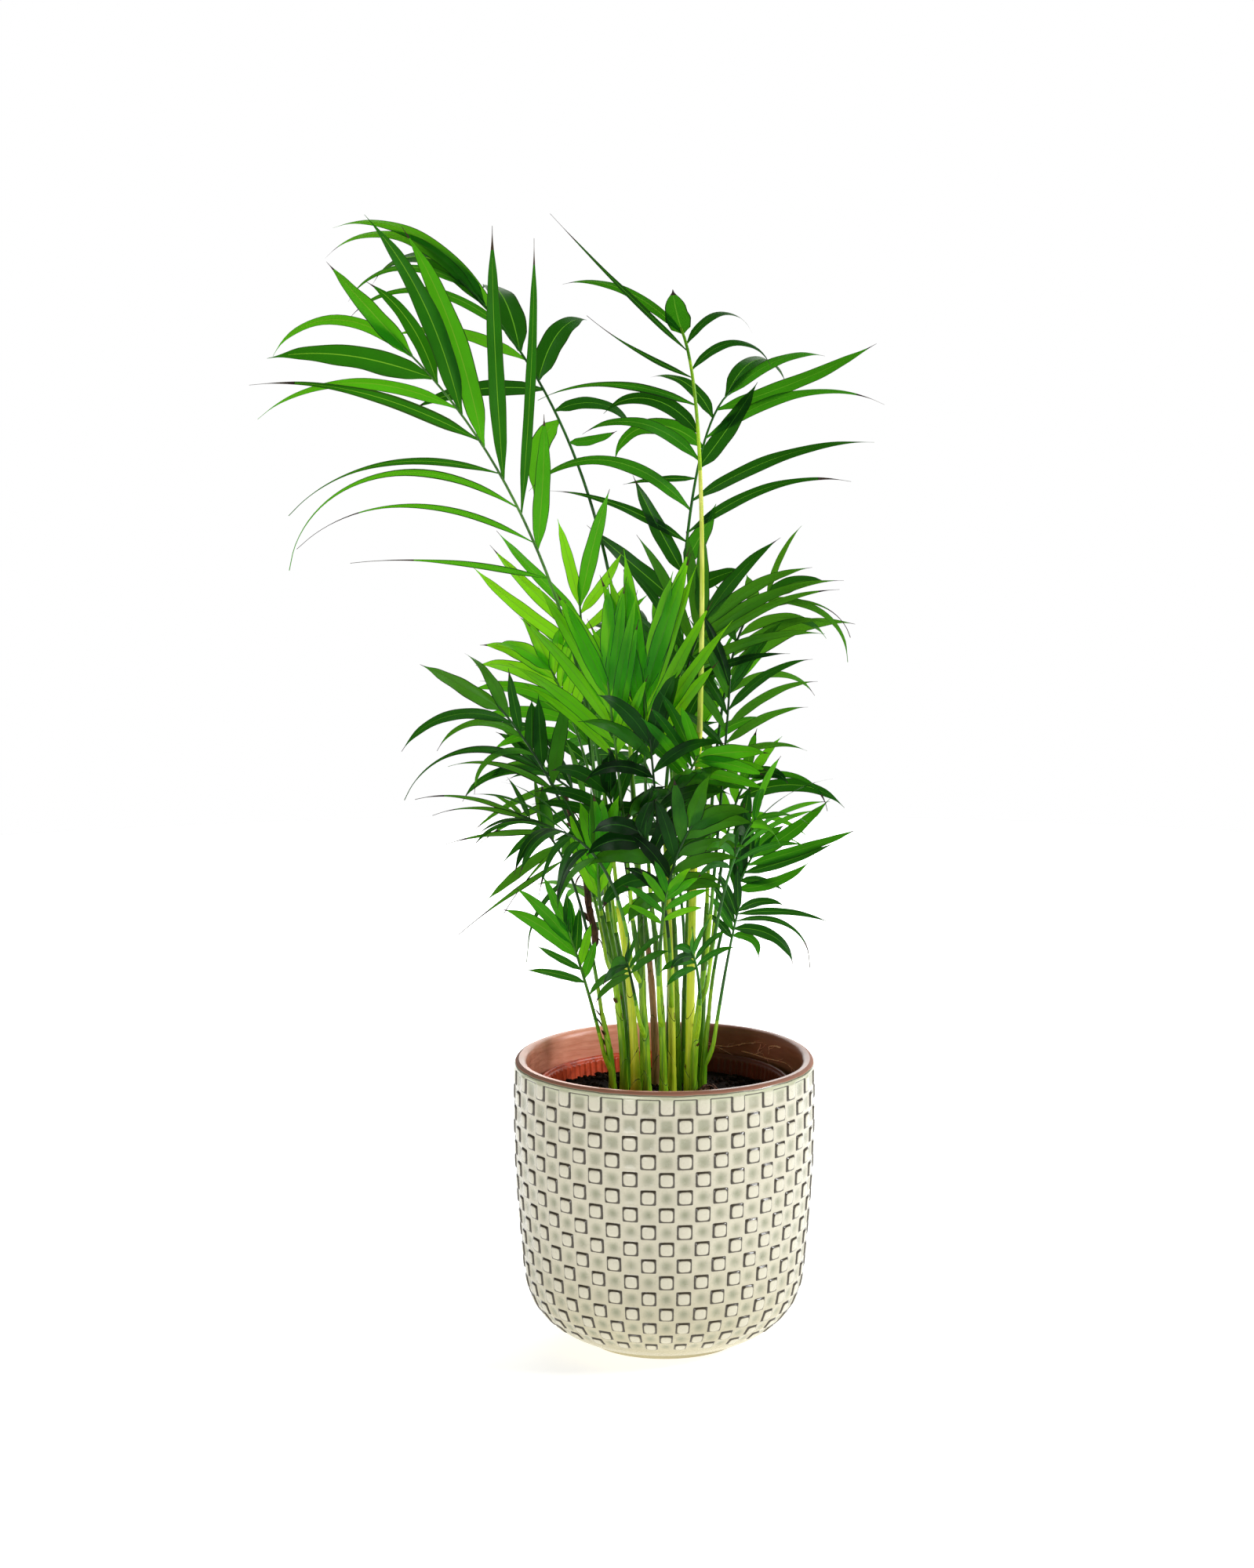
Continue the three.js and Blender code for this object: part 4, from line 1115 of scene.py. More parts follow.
FRONDS: dict[str, Frond] = {frond.name: frond for frond in (
    Frond("crown_left", "b", (-134, -25, 534), 0.65, (-90, 20), 8, 0.56, YOUNG,
        Habit((104, 130, 145, 118, 122, 107, 88, 83), (57, 37, 31, 46, 30, 28, 28, 2),
              (20, 80, 125, 68, 36, 68, 35, 150), (4, 4, 4, 4.5, 7, 8, 13, 7)),
        Habit((71, 141, 133, 121, 114, 66, 64, 0), (28, 31, 25, 22, 22, 25, 4, 0),
              (-60, -58, -60, 120, 116, 150, 0, 0), (8.5, 5, 8.5, 12, 11, 9, 12, 9)), later=0.8,
        light=-0.9),
    Frond("crown_left_back", "d", (-108, 40, 567), 0.65, (-70, 20), 7, 0.6, GROWN,
        Habit((0, 43, 74, 73, 98, 87, 73), (60, 105, 61, 31, 13, -12, 13),
              (40, 150, 32, 50, 110, 165, 98), (8, 10, 11, 7, 6, 12, 6)),
        Habit((29, 50, 60, 70, 130, 110, 0), (105, 90, 43, 25, 10, 7, 0),
              (-20, 92, 164, 170, 122, 140, 0), (6, 7, 13, 15, 9, 9, 8)), light=-0.2),
    Frond("crown_right", "l", (8, -14, 544), 0.85, (-85, 15), 6, 0.66, GROWN,
        Habit((69, 57, 83, 64, 103, 85), (40, 34, 61, 58, 34, 22), (110, 165, 56, -16, -4, 62),
              (7, 10, 5, 3.5, 4, 7)),
        Habit((0, 0, 0, 60, 57, 26), (40, 40, 40, 45, 40, 1), (60, 60, 60, 165, 170, -40),
              (5, 5, 5, 5.5, 4.5, 12)), girth=1.4, light=-0.9),
    Frond("right_back", "h", (34, 35, 508), 0.85, (-85, 20), 8, 0.3, GROWN,
        Habit((66, 60, 80, 101, 39, 60, 47, 73), (52, 35, 70, 52, 100, 55, 49, 16),
              (0, -10, 38, 150, 14, 165, 170, 170), (9, 10, 5, 7, 4, 11, 8, 11)),
        Habit((36, 36, 93, 102, 56, 105, 94, 73), (50, 25, 46, 49, 25, 37, 43, 4),
              (30, -10, 56, 38, -10, 74, -10, 56), (8, 9, 6, 7, 9, 7, 9, 6)), light=-0.7),
    Frond("middle", "g", (20, -8, 392), 0.5, (-88, 15), 6, 0.68, OLD,
        Habit((45, 62, 50), (55, 20), (60, 50)), Habit((60, 82, 60), (45, 15), (40, 50)), light=0.4,
        wide=(5, 7)),
    Frond("small_fan", "c", (-45, 0, 401), 0.2, (-85, 10), 4, 0.84, YOUNG,
        Habit((77, 71, 65, 48), (49, 43, 40, 7), (-12, -10, -6, 8), (7, 6.5, 7, 6)),
        Habit((46, 38, 41, 67), (55, 58, 43, 16), (-4, -40, -20, 38), (5, 5, 5.5, 8)), light=0.9),
    Frond("right_mid", "o", (57, 25, 402), 0.95, (-80, 25), 7, 0.62, OLD,
        Habit((28, 34, 30, 32, 28, 20, 44), (60, 55, 50, 45, 55, 60, 56),
              (70, 70, 60, 60, 30, 0, 150), (5, 5, 5, 5, 5, 8, 4)),
        Habit((58, 78, 56, 54, 63, 64, 34), (40, 32, 31, 33, 28, 31, -14),
              (120, 90, 80, 120, 120, 110, 60), (4, 8, 5, 6, 2.8, 4, 9)), light=0.7),
    Frond("centre_left", "e", (-30, -34, 362), 0.5, (-95, 10), 6, 0.68, YOUNG,
        Habit((58, 76, 52), (40, 12), (30, 20)), Habit((48, 72, 55), (24, 8), (20, 15)), light=1.3,
        wide=(6, 8)),
    Frond("centre_right", "i", (-11, -31, 360), 0.5, (-88, 10), 7, 0.66, YOUNG,
        Habit((58, 80, 65), (24, 7), (15, 10)), Habit((60, 88, 65), (32, 8), (20, 12)), light=1.4,
        wide=(7, 9)),
    Frond("left_mid", "c", (-87, -10, 346), 0.55, (-95, 30), 6, 0.62, OLD,
        Habit((66, 96, 50, 60, 71, 59), (26, 24, 30, 16, 25, 16), (60, 125, 140, 120, 80, 8),
              (4, 5, 3.5, 4, 6, 8)),
        Habit((52, 40, 28, 37, 49, 0), (34, 25, 34, 22, 19, 20), (56, -40, -40, -20, 92, 40),
              (8, 8, 7, 6, 8, 6)), at=0.8, light=0.5),
    Frond("left_back", "f", (-68, 25, 309), 0.35, (-95, 35), 6, 0.5, OLD,
        Habit((78, 64, 66, 60, 54, 30), (76, 62, 56, 50, 15, 20), (30, 30, 20, 30, 80, 60),
              (3.5, 5, 4, 4, 5, 6)), Habit((30, 38, 30), (50, 20), (70, 60), (4, 6)), light=0.3),
    Frond("left_low", "a", (-76, -25, 291), 0.85, (-95, 40), 6, 0.62, OLD,
        Habit((55, 68, 50, 64, 65, 64), (105, 92, 84, 42, 8, -12), (80, 10, 10, 16, 40, 40),
              (3, 3, 6, 3.5, 4, 4)),
        Habit((30, 30, 32, 30, 26, 20), (50, 50, 20, 40, 50, 40), (60, 60, -20, 60, 60, 60),
              (5, 5, 7, 5, 4, 4)), light=0.6),
    Frond("left_lowest", "a", (-50, -40, 231), 0.35, (-90, 15), 5, 0.54, YOUNG,
        Habit((36, 34, 66, 60, 46), (44, 36, 20, 15, 3), (20, 0, 34, 20, 4), (4, 4, 7, 6, 6)),
        Habit((28, 34, 34), (30, 8), (20, 15), (5, 6)), at=0.6, light=-0.2),
    Frond("right_bright", "k", (17, -35, 324), 0.5, (-85, 20), 5, 0.75, YOUNG,
        Habit((40, 50, 40), (60, 30), (20, 20)), Habit((35, 48, 44), (60, 40), (20, 20)),
        light=-0.1, wide=(6, 8)),
    Frond("right_low", "n", (48, 0, 267), 0.6, (-75, 25), 6, 0.74, GROWN,
        Habit((60, 44, 26, 24, 22, 18), (16, 20, 40, 40, 30, 20), (60, 0, 40, 40, 30, 30),
              (11, 8, 5, 5, 4, 4)),
        Habit((42, 26, 52, 64, 52, 24), (64, 56, 49, 46, 28, 4), (-40, 50, -10, -6, -16, 50),
              (6.5, 5, 6, 6, 8, 6)), light=-0.8),
    Frond("right_lowest", "n", (39, -15, 239), 0.7, (-75, 25), 5, 0.78, GROWN,
        Habit((22, 30, 24), (50, 20), (50, 30), (4, 5)),
        Habit((22, 40, 55, 52, 26), (67, 73, 60, 68, 40), (130, 80, 110, 32, 80),
              (5, 6.5, 3, 4, 5)), at=0.7, light=-0.9),
    Frond("left_inner", "p", (-61, 10, 365), 0.6, (-90, 20), 6, 0.7, YOUNG,
        Habit((55, 62, 50), (50, 15), (50, 40)), Habit((45, 55, 50), (40, 10), (50, 40)), light=0.3,
        wide=(7, 8)),
    Frond("centre_back", "j", (4, 50, 350), 0.6, (-90, 10), 6, 0.68, GROWN,
        Habit((50, 62, 50), (50, 15), (40, 40)), Habit((45, 60, 50), (45, 10), (40, 40)),
        wide=(7, 9)),
    Frond("right_inner", "m", (34, -15, 360), 0.65, (-80, 30), 6, 0.7, OLD,
        Habit((35, 50, 40), (50, 15), (60, 60)), Habit((45, 52, 45), (55, 15), (60, 60)), light=0.4,
        wide=(4, 6)),
    Frond("right_wing", "o", (46, 15, 306), 0.8, (-80, 30), 5, 0.62, GROWN,
        Habit((28, 36, 30), (45, 10), (40, 30), (5, 6)),
        Habit((49, 46, 62, 54, 24), (70, 70, 42, 30, 19), (50, 50, 80, 120, 100),
              (3, 3.5, 7, 3.5, 7)), at=0.8),
    Frond("centre_low_left", "d", (-30, -25, 303), 0.6, (-95, 20), 5, 0.6, OLD,
        Habit((40, 55, 50), (50, 20), (60, 60)), Habit((35, 50, 45), (45, 15), (60, 60)), at=0.5,
        wide=(6, 8)),
    Frond("centre_low_right", "h", (3, -22, 301), 0.6, (-85, 20), 5, 0.6, OLD,
        Habit((40, 50, 50), (50, 20), (60, 60)), Habit((35, 55, 45), (50, 15), (60, 60)), at=0.5,
        wide=(7, 9)),
    Frond("low_front_left", "e", (-20, -48, 217), 0.5, (-90, 40), 4, 0.7, OLD,
        Habit((25, 30, 24), (65, 20), (60, 60)), at=0.5, wide=(4, 5)),
    Frond("low_front_right", "m", (14, -45, 222), 0.5, (-90, 40), 4, 0.7, GROWN,
        Habit((22, 26, 22), (60, 20), (60, 60)), at=0.6, wide=(4, 5)),
    Frond("low_centre", "i", (1, -48, 254), 0.5, (-90, 20), 4, 0.7, YOUNG,
        Habit((24, 30, 26), (50, 20), (30, 30)), at=0.5, light=0.45, wide=(4, 5)),
    Frond("left_front", "e", (-58, -72, 292), 0.65, (-110, 45), 6, 0.62, OLD,
        Habit((40, 55, 48), (50, 15), (70, 70)), at=0.8, wide=(3.5, 5)),
    Frond("right_front", "m", (46, -66, 296), 0.65, (-60, 40), 6, 0.62, GROWN,
        Habit((38, 50, 42), (50, 15), (60, 60)), Habit((42, 56, 48), (50, 15), (60, 60)), at=0.85,
        wide=(3.5, 5)),
    Frond("middle_back", "h", (-10, 56, 370), 0.6, (-80, 20), 5, 0.7, GROWN,
        Habit((42, 56, 50), (50, 15), (60, 60)), Habit((38, 52, 50), (45, 15), (60, 60)), at=0.7,
        wide=(5, 7)),
    Frond("centre_dark", "g", (-8, -34, 332), 0.55, (-90, 20), 5, 0.62, OLD,
        Habit((42, 56, 48), (55, 20), (80, 70)), at=0.6, light=0.3, wide=(6, 8)),
    Frond("back_high", "f", (-18, 90, 340), 0.7, (75, 30), 7, 0.62, GROWN,
        Habit((55, 75, 60), (55, 15), (70, 70)), at=0.8, wide=(7, 9)),
    Frond("back_left", "p", (-46, 100, 340), 0.7, (110, 40), 6, 0.6, GROWN,
        Habit((50, 70, 55), (55, 15), (70, 70)), at=0.7, wide=(6, 8)),
    Frond("back_right", "j", (24, 100, 354), 0.7, (60, 40), 6, 0.6, GROWN,
        Habit((50, 68, 55), (55, 15), (70, 70)), at=0.8, wide=(6, 8)),
    Frond("back_low", "j", (-2, 80, 265), 0.7, (85, 45), 6, 0.6, GROWN,
        Habit((40, 52, 44), (55, 15), (70, 70)), at=0.5, wide=(5, 7)),
    Frond("back_lowest", "p", (-37, 75, 230), 0.7, (100, 45), 5, 0.6, GROWN,
        Habit((35, 46, 40), (55, 15), (70, 70)), at=0.5, wide=(5, 7)),
    Frond("left_spear", "q", (-35, -26, 270), 0.5, (-95, 10), 4, 0.25, YOUNG,
        Habit((42, 46, 40), (17, 6), (10, 6)), Habit((42, 48, 40), (15, 6), (10, 6)), light=0.6,
        wide=(8, 9)),
    Frond("inner_left", "g", (-14, -43, 286), 0.6, (-92, 25), 5, 0.5, OLD,
        Habit((34, 44, 38), (55, 20), (80, 70)), at=0.45, light=0.2, wide=(8, 10)),
    Frond("inner_right", "i", (13, -46, 288), 0.6, (-88, 25), 5, 0.5, OLD,
        Habit((32, 42, 36), (50, 15), (60, 60)), Habit((34, 44, 38), (50, 15), (50, 50)), at=0.65,
        wide=(7, 9)),
)}


# ---- growth
# Small changes tried in turn where a leaflet has no room: swing, lift, share of its length.
TRIES = (
    (0, 0, 1), (6, 0, 1), (-6, 0, 1), (0, 10, 1), (0, -10, 1), (10, 12, 1), (-10, -12, 1),
    (0, 0, 0.8), (8, 16, 0.8), (-8, -16, 0.8), (0, 24, 0.8), (0, -24, 0.8),
    (0, 0, 0.6), (12, 12, 0.6), (-12, -12, 0.6), (0, 0, 0.42),
)


class Growth:
    """Where each petiole and leaflet finds room, by the rule that the solids follow."""

    # A petiole's knee is tried on rings round its plain place, its foot at turns about the stem.
    RINGS = 7
    RING_STEP = 3.5
    DIRECTIONS = 8
    SPINS = (0, 40, -40, 80, -80)
    BERTH = GAP + 0.15         # kept free round a stalk
    LAST = 0.985               # share of a rachis where its last leaflet springs
    SPAN_LENGTHS = (52, 95)      # lengths over which a solid has one span more
    BULK = 0.0105              # thickness of a long solid, of its length

    def __init__(self) -> None:
        """Grows the whole plant."""
        self.room = Room()
        self.courses: dict[str, Bend] = {}
        self.leaflets: list[Leaflet] = []
        for key, stem in STEMS.items():
            self.room.stand(f"stem_{key}", Body.limb(stem.curve(), 5, stem.radius(shares(5))))
        for name, frond in FRONDS.items():
            self.courses[name] = self._place(frond)
            self.room.stand(name, self._rachis(frond, self.courses[name], 3, 0))
        dead = DeadStalk()
        self.room.stand("dead_stalk", Body.limb(dead.curve(), 5, dead.radius(shares(6))))
        for index, frond in enumerate(FRONDS.values()):
            for leaflet, body in list(self._leaflets(index, frond)):
                self.room.stand(frond.name, body)
                self.leaflets.append(leaflet)

    @staticmethod
    def _rachis(frond: Frond, curve: Bend, sides: int, margin: float) -> Body:
        """A frond's stalk, with so much room round it."""
        return Body.limb(curve, sides, frond.radius(shares(RACHIS_STEPS + 1)) + margin)

    def _place(self, frond: Frond) -> Bend:
        """Looks for a petiole's room close to its plain course first, then step by step aside.

        Args:
            frond: The frond.

        Returns:
            Its middle line.
        """
        for ring in range(self.RINGS):
            for direction in range(self.DIRECTIONS):
                shift = spoke(direction * TURN / self.DIRECTIONS) * ring * self.RING_STEP
                for spin in self.SPINS:
                    curve = frond.curve(shift, spin)
                    berth = self._rachis(frond, curve, 5, self.BERTH)
                    if self.room.is_free(frond.name, berth):
                        return curve
        raise RuntimeError(f"no room for the petiole of {frond.name}")

    def _leaflets(self, index: int, frond: Frond) -> Iterator[tuple[Leaflet, Body]]:
        """Yields each leaflet of a frond that finds room, with its solid.

        Args:
            index: The frond's place in the table.
            frond: The frond.
        """
        curve = self.courses[frond.name]
        for i in range(frond.pairs):
            for right, habit in enumerate((frond.left, frond.right or frond.left)):
                q, j = i / (frond.pairs - 1), i * 2 + right
                later = right * frond.later / (frond.pairs - 1)
                share = min(self.LAST, frond.bare + (1 - frond.bare) * (q + later))
                along = curve.along(share)
                top = square(frond.facing, along)
                across = np.cross(along, top) * (1 if right else -1)
                loose = 0.3 if len(habit.leaf) > 3 else 1
                spread = through(habit.spread, q) + 5 * loose * wobble(index, j, 1)
                droop = math.radians(through(habit.droop, q))
                droop *= 1 + 0.22 * loose * wobble(index, j, 2)
                lift = 5 + 8 * wobble(index, j, 3)
                full = through(habit.leaf, q) * (1 + 0.08 * loose * wobble(index, j, 4))
                width = through(habit.wide or frond.wide, q) * (1 + 0.12 * wobble(index, j, 5))
                if full < 1:
                    continue
                start = curve.on_chord(share)
                for swing, raised, part in TRIES:
                    length = full * part
                    a, b = math.radians(spread + swing), math.radians(lift + raised)
                    heading = (
                        along * math.cos(a)
                        + across * math.cos(b) * math.sin(a)
                        + top * math.sin(b) * math.sin(a)
                    )
                    line = Midline.grown(start, unit(heading), droop, length)
                    spans = 2 + sum(length > limit for limit in self.SPAN_LENGTHS)
                    clear = (width + 2 * GAP, BLADE_THICKNESS + 3 * GAP)
                    if self.room.is_free(frond.name, Body.blade(line, top, *clear, spans)):
                        thickness = max(BLADE_THICKNESS, length * self.BULK)
                        yield Leaflet(
                            frond.tint, line, top, width, length, curve.at(share) - start,
                            frond.light, (index, j),
                        ), Body.blade(line, top, width, thickness, spans)
                        break


# ---- meshes
class Batch:
    """Points and faces gathered for one piece, in millimetres."""

    def __init__(self) -> None:
        """Starts empty."""
        self.points: list[Array] = []
        self.faces: list[Array] = []
        self.marks: list[Array] = []
        self.cells: list[Array] = []
        self.count = 0

    @staticmethod
    def _corners(grid: Array) -> Array:
        """What stands at the four corners of each quad of a grid."""
        return np.stack((grid[:-1, :-1], grid[:-1, 1:], grid[1:, 1:], grid[1:, :-1]), 2)

    def sheet(
        self, grid: Array, mark: Array | int = 0, ring: bool = True, cells: Array | None = None
    ) -> None:
        """Adds a sheet of quads.

        Args:
            grid: Its points, rows x columns x 3.
            mark: The finish of all its faces, or of each.
            ring: Whether its last column joins its first.
            cells: Pattern coordinates of each corner; with a ring they have one column more.
        """
        rows, columns = grid.shape[:2]
        index = np.arange(rows * columns).reshape(rows, columns) + self.count
        if ring:
            index = np.hstack([index, index[:, :1]])
        self.points.append(grid.reshape(-1, 3))
        self.faces.append(self._corners(index).reshape(-1, 4))
        spans = (rows - 1, index.shape[1] - 1)
        self.marks.append(np.broadcast_to(np.asarray(mark), spans).reshape(-1))
        if cells is not None:
            self.cells.append(self._corners(cells).reshape(-1, 2))
        self.count += rows * columns

    def build(
        self, name: str, *finishes: Finish | GlazeFinish | FloorFinish, weld: bool = True
    ) -> Piece:
        """Makes the piece.

        Args:
            name: Its name.
            *finishes: Its finishes, in the order of their marks.
            weld: Whether points that fall together are joined.

        Returns:
            The new object, in the scene.
        """
        mesh = bpy.data.meshes.new(name)
        points = np.vstack(self.points) * MM
        mesh.from_pydata(points.tolist(), [], np.vstack(self.faces).tolist())
        for finish in finishes:
            mesh.materials.append(finish.make())
        mesh.polygons.foreach_set("material_index", np.concatenate(self.marks).astype(np.int32))
        if self.cells:
            layer = mesh.uv_layers.new(name="cells")
            layer.data.foreach_set("uv", np.vstack(self.cells).astype(np.float32).reshape(-1))
        mesh.polygons.foreach_set("use_smooth", np.ones(len(mesh.polygons), bool))
        if weld:
            work = bmesh.new()
            work.from_mesh(mesh)
            bmesh.ops.remove_doubles(work, verts=work.verts, dist=1e-7)
            work.to_mesh(mesh)
            work.free()
        mesh.update()
        piece = bpy.data.objects.new(name, mesh)
        bpy.context.scene.collection.objects.link(piece)
        return piece


def settle(piece: Piece, slot: str, *nodes: str) -> None:
    """Lets a piece ride with the plant, in place of its nodes.

    Args:
        piece: The finished object.
        slot: The record's material slot; not used.
        *nodes: The solids that it stands for.
    """
    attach(piece, BODY)
    if nodes:
        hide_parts(*nodes)
    log.info("%s: %d faces", piece.name, len(piece.data.polygons))


def lathe(profile: Array, columns: int) -> Array:
    """A profile of radius and height, turned about the upright axis, as rows x columns x 3."""
    a = around(columns)
    r, z = profile[:, :1], profile[:, 1:]
    return np.stack([r * np.cos(a), r * np.sin(a), np.broadcast_to(z, (len(profile), columns))], -1)


def fine(profile: Sequence[Pair], step: float, soften: float) -> Array:
    """A profile read at even small steps, with its corners eased.

    Args:
        profile: Its corners, as radius and height.
        step: Distance between the points that come back.
        soften: How far along the profile a corner is spread.

    Returns:
        The eased points.
    """
    corners = np.array(profile, float)
    lengths = travelled(corners)
    places = np.linspace(0, lengths[-1], max(3, round(lengths[-1] / step) + 1))
    eased = np.zeros((len(places), 2))
    offsets = np.linspace(-2, 2, 9)
    weights = np.exp(-offsets ** 2)
    room = np.minimum(soften, np.minimum(places, lengths[-1] - places) / 2)
    for offset, weight in zip(offsets, weights):
        for axis in (0, 1):
            eased[:, axis] += weight * np.interp(places + offset * room, lengths, corners[:, axis])
    return eased / weights.sum()


def heaved(grid: Array, low: float, high: float, amount: float) -> Array:
    """Lifts the back of a thrown rim, most of all at its right.

    Args:
        grid: Points about the upright axis, ... x 3.
        low: Height at which the lift begins.
        high: Height from which it is whole.
        amount: Its size at the back.

    Returns:
        The lifted points.
    """
    turn = np.arctan2(grid[..., 1], grid[..., 0])
    back = ease(-0.35, 0.95, np.sin(turn)) * (1 + 0.35 * np.cos(turn))
    lift = amount * back * ease(low, high, grid[..., 2])
    return grid + lift[..., None] * UP


# ---- cover pot
@dataclass
class CoverPot:
    """The glazed cover pot: a round body under a checker of raised studs and dished pads."""

    columns: int = 52
    rows: int = 16
    first_row: float = 9.3          # distance from the lip's top to the middle of the first row
    squeeze: float = 1.014          # of the rows, so that they are a little lower than square
    column_turn: float = -89.6      # where the first column looks, in degrees
    proud: float = 0.25             # thickness of the glaze on the collar and the studs
    sink: float = 0.6               # how far the pads' rims lie below the studs
    dish: float = 0.6               # and how far a pad's middle below its rim
    dome: float = 0.3               # of a stud's middle
    uneven: Triple = (128, 151, 2.2)    # heights between which the back is lifted, and how far
    # Columns of the wall's mesh in each cell, close together where its relief is steep.
    in_cell: Row = (0, 0.075, 0.115, 0.155, 0.3, 0.5, 0.7, 0.845, 0.885, 0.925)
    # The outer wall from the lip's top down to the edge of the underside, and the rest inside.
    wall: tuple[Pair, ...] = (
        (78, 155), (79.7, 154.2), (80.2, 151.4), (80.5, 124), (79.9, 98), (78.4, 75), (76.6, 54),
        (75.2, 38), (73.2, 29), (70.8, 23), (67.2, 18), (62, 12.5), (56, 8), (48, 4), (41, 2.5),
        (40, 0),
    )
    bore: tuple[Pair, ...] = (
        (78, 155), (76, 155.2), (74.4, 154.3), (73.7, 151.6), (73.2, 110), (70.6, 60), (68, 36),
        (62, 20), (55, 12), (50, 9), (30, 9), (0.01, 9),
    )
    under: tuple[Pair, ...] = ((0.01, 0.6), (34, 0.6), (37, 0), (40, 0))

    def _outer(self) -> tuple[Array, Array]:
        """The outer wall at fine steps, softer between lip and foot: points, and their rows.

        Returns:
            The points, as radius and height, and the row that each lies in.
        """
        sharp, soft = fine(self.wall, 0.4, 0.5), fine(self.wall, 0.4, 4.5)
        s = travelled(sharp)
        share = ease(8, 18, s) * (1 - ease(s[-1] - 16, s[-1] - 6, s))
        points = sharp + (soft - sharp) * share[:, None]
        pitches = self.columns / (TURN * points[:, 0])
        along = np.concatenate([[0], np.cumsum((pitches[1:] + pitches[:-1]) / 2 * np.diff(s))])
        return points, (along - np.interp(self.first_row, s, along)) * self.squeeze + 0.5

    def _relief(self, u: Array, v: Array) -> Array:
        """How far the wall stands proud at column u and row v.

        Args:
            u: Columns, counted from the first one's edge.
            v: Rows, counted from the first one's upper edge.

        Returns:
            The height over the plain wall at each.
        """
        column, row = np.floor(u), np.floor(v)
        across, down = np.abs(u - column - 0.5) * 2, np.abs(v - row - 0.5) * 2
        stud = (column + row + 1) % 2
        pad_out = (across ** 4 + down ** 4) ** 0.25
        pad = (1 - stud) * (1 - ease(0.1, 0.95, pad_out))
        down = np.where((row <= 0) & (v - row < 0.5), 0, down)
        stud_out = (across ** 8 + down ** 8) ** 0.125
        rise = stud * (1 - ease(0.69, 0.85, stud_out))
        height = self.dome * rise * (1 - stud_out ** 2) - self.sink * (1 - rise) - self.dish * pad
        height = self.proud + height * ease(-0.02, 0.06, v)
        height *= 1 - ease(self.rows - 0.05, self.rows + 0.12, v)
        return height * ease(-0.24, -0.15, v)

    def build(self) -> None:
        """Makes the pot: underside, wall with its relief, lip and bore."""
        points, place = self._outer()
        u = (np.arange(self.columns)[:, None] + self.in_cell).reshape(-1)
        body = (np.arange(self.rows)[:, None] + self.in_cell).reshape(-1)
        above = np.append(np.linspace(place[0], -0.24, 12), (-0.2, -0.15, -0.08, -0.02))
        v = np.concatenate([above, body, np.linspace(self.rows, place[-1], 16)])
        r, z = (np.interp(v, place, points[:, axis]) for axis in (0, 1))
        slope = np.gradient(points, axis=0)
        slope = unit(np.stack([-slope[:, 1], slope[:, 0]], -1))
        out_r, out_z = (np.interp(v, place, slope[:, axis])[:, None] for axis in (0, 1))
        lift = self._relief(u[None, :], v[:, None]) * np.minimum(1, r / 76)[:, None]
        turn = np.radians(self.column_turn) + (u - 0.5) * TURN / self.columns
        radius, height = r[:, None] + lift * out_r, z[:, None] + lift * out_z
        wall = np.stack([radius * np.cos(turn), radius * np.sin(turn), height], -1)[::-1]
        cells = np.stack(np.meshgrid(np.append(u, self.columns), v[::-1]), -1)
        batch = Batch()
        batch.sheet(heaved(wall, *self.uneven), 0, True, cells)
        for mark, plain in ((1, fine(self.under, 4, 0.4)), (2, fine(self.bore, 2.2, 0.7))):
            cells = np.full((len(plain), len(u) + 1, 2), (0.5, -0.4))
            batch.sheet(heaved(lathe(plain, len(u)), *self.uneven), mark, True, cells)
        piece = batch.build(
            "cover_pot",
            GlazeFinish(),
            ClayFinish("bare_foot", "c9b79c", "b09a7c", 0.8),
            # The bore's right side carries painted shade.
            ClayFinish("washed_bore", "fcae92", "e49074", 0.35, painted_shade=0.88),
        )
        settle(piece, "planter_glaze", "planter")


# ---- inner pot, soil and roots
@dataclass
class InnerPot:
    """The thin ribbed plastic pot that the palm grows in."""

    rim: float = 68
    base: float = 48
    top: float = 141.5
    wall: float = 1.2
    foot: float = 9.3
    ribs: int = 104
    rib_depth: float = 1.0
    columns: int = 832
    uneven: Triple = (110, 138, 1.8)    # heights between which the back is lifted, and how far
    # The rolled edge, from its outer foot over its top to the inner wall, from the rim and the top.
    edge: tuple[Pair, ...] = (
        (-2, -4.5), (0, -4), (0, -0.3), (-0.4, 0), (-1.6, 0), (-2, -0.4), (-2.2, -1.2),
        (-3.2, -1.8), (-3.6, -6),
    )

    def build(self) -> None:
        """Makes the pot, with a rolled rim and upright ribs under it."""
        floor = self.foot + self.wall
        edge = [(self.rim + x, self.top + z) for x, z in self.edge]
        shell = fine([(0.01, self.foot), (self.base, self.foot), edge[0]], 6, 0.6)
        inside = fine([edge[-1], (self.base - self.wall, floor), (0.01, floor)], 6, 0.6)
        profile = np.vstack([shell, fine(edge, 0.5, 0.2)[1:-1], inside])
        a, z = around(self.columns), profile[:, 1]
        uneven = 0.7 + 0.3 * np.sin(7 * a) * np.sin(11 * a)
        rib = np.maximum(0, np.cos(a * self.ribs)) * self.rib_depth * uneven
        inner = np.arange(len(profile)) > np.argmax(z)
        reach = ease(20, 40, z) * (1 - ease(self.top - 2.6, self.top - 1.8, z))
        amount = np.where(inner, reach, 0)[:, None]
        grid = lathe(profile, self.columns)
        grid[..., :2] *= (1 - amount * rib / np.maximum(profile[:, :1], 20))[..., None]
        batch = Batch()
        batch.sheet(heaved(grid, *self.uneven))
        piece = batch.build("inner_pot", PlasticFinish("pot_plastic", "dc5028", "a43418"))
        settle(piece, "nursery_pot_plastic", "nursery_pot")


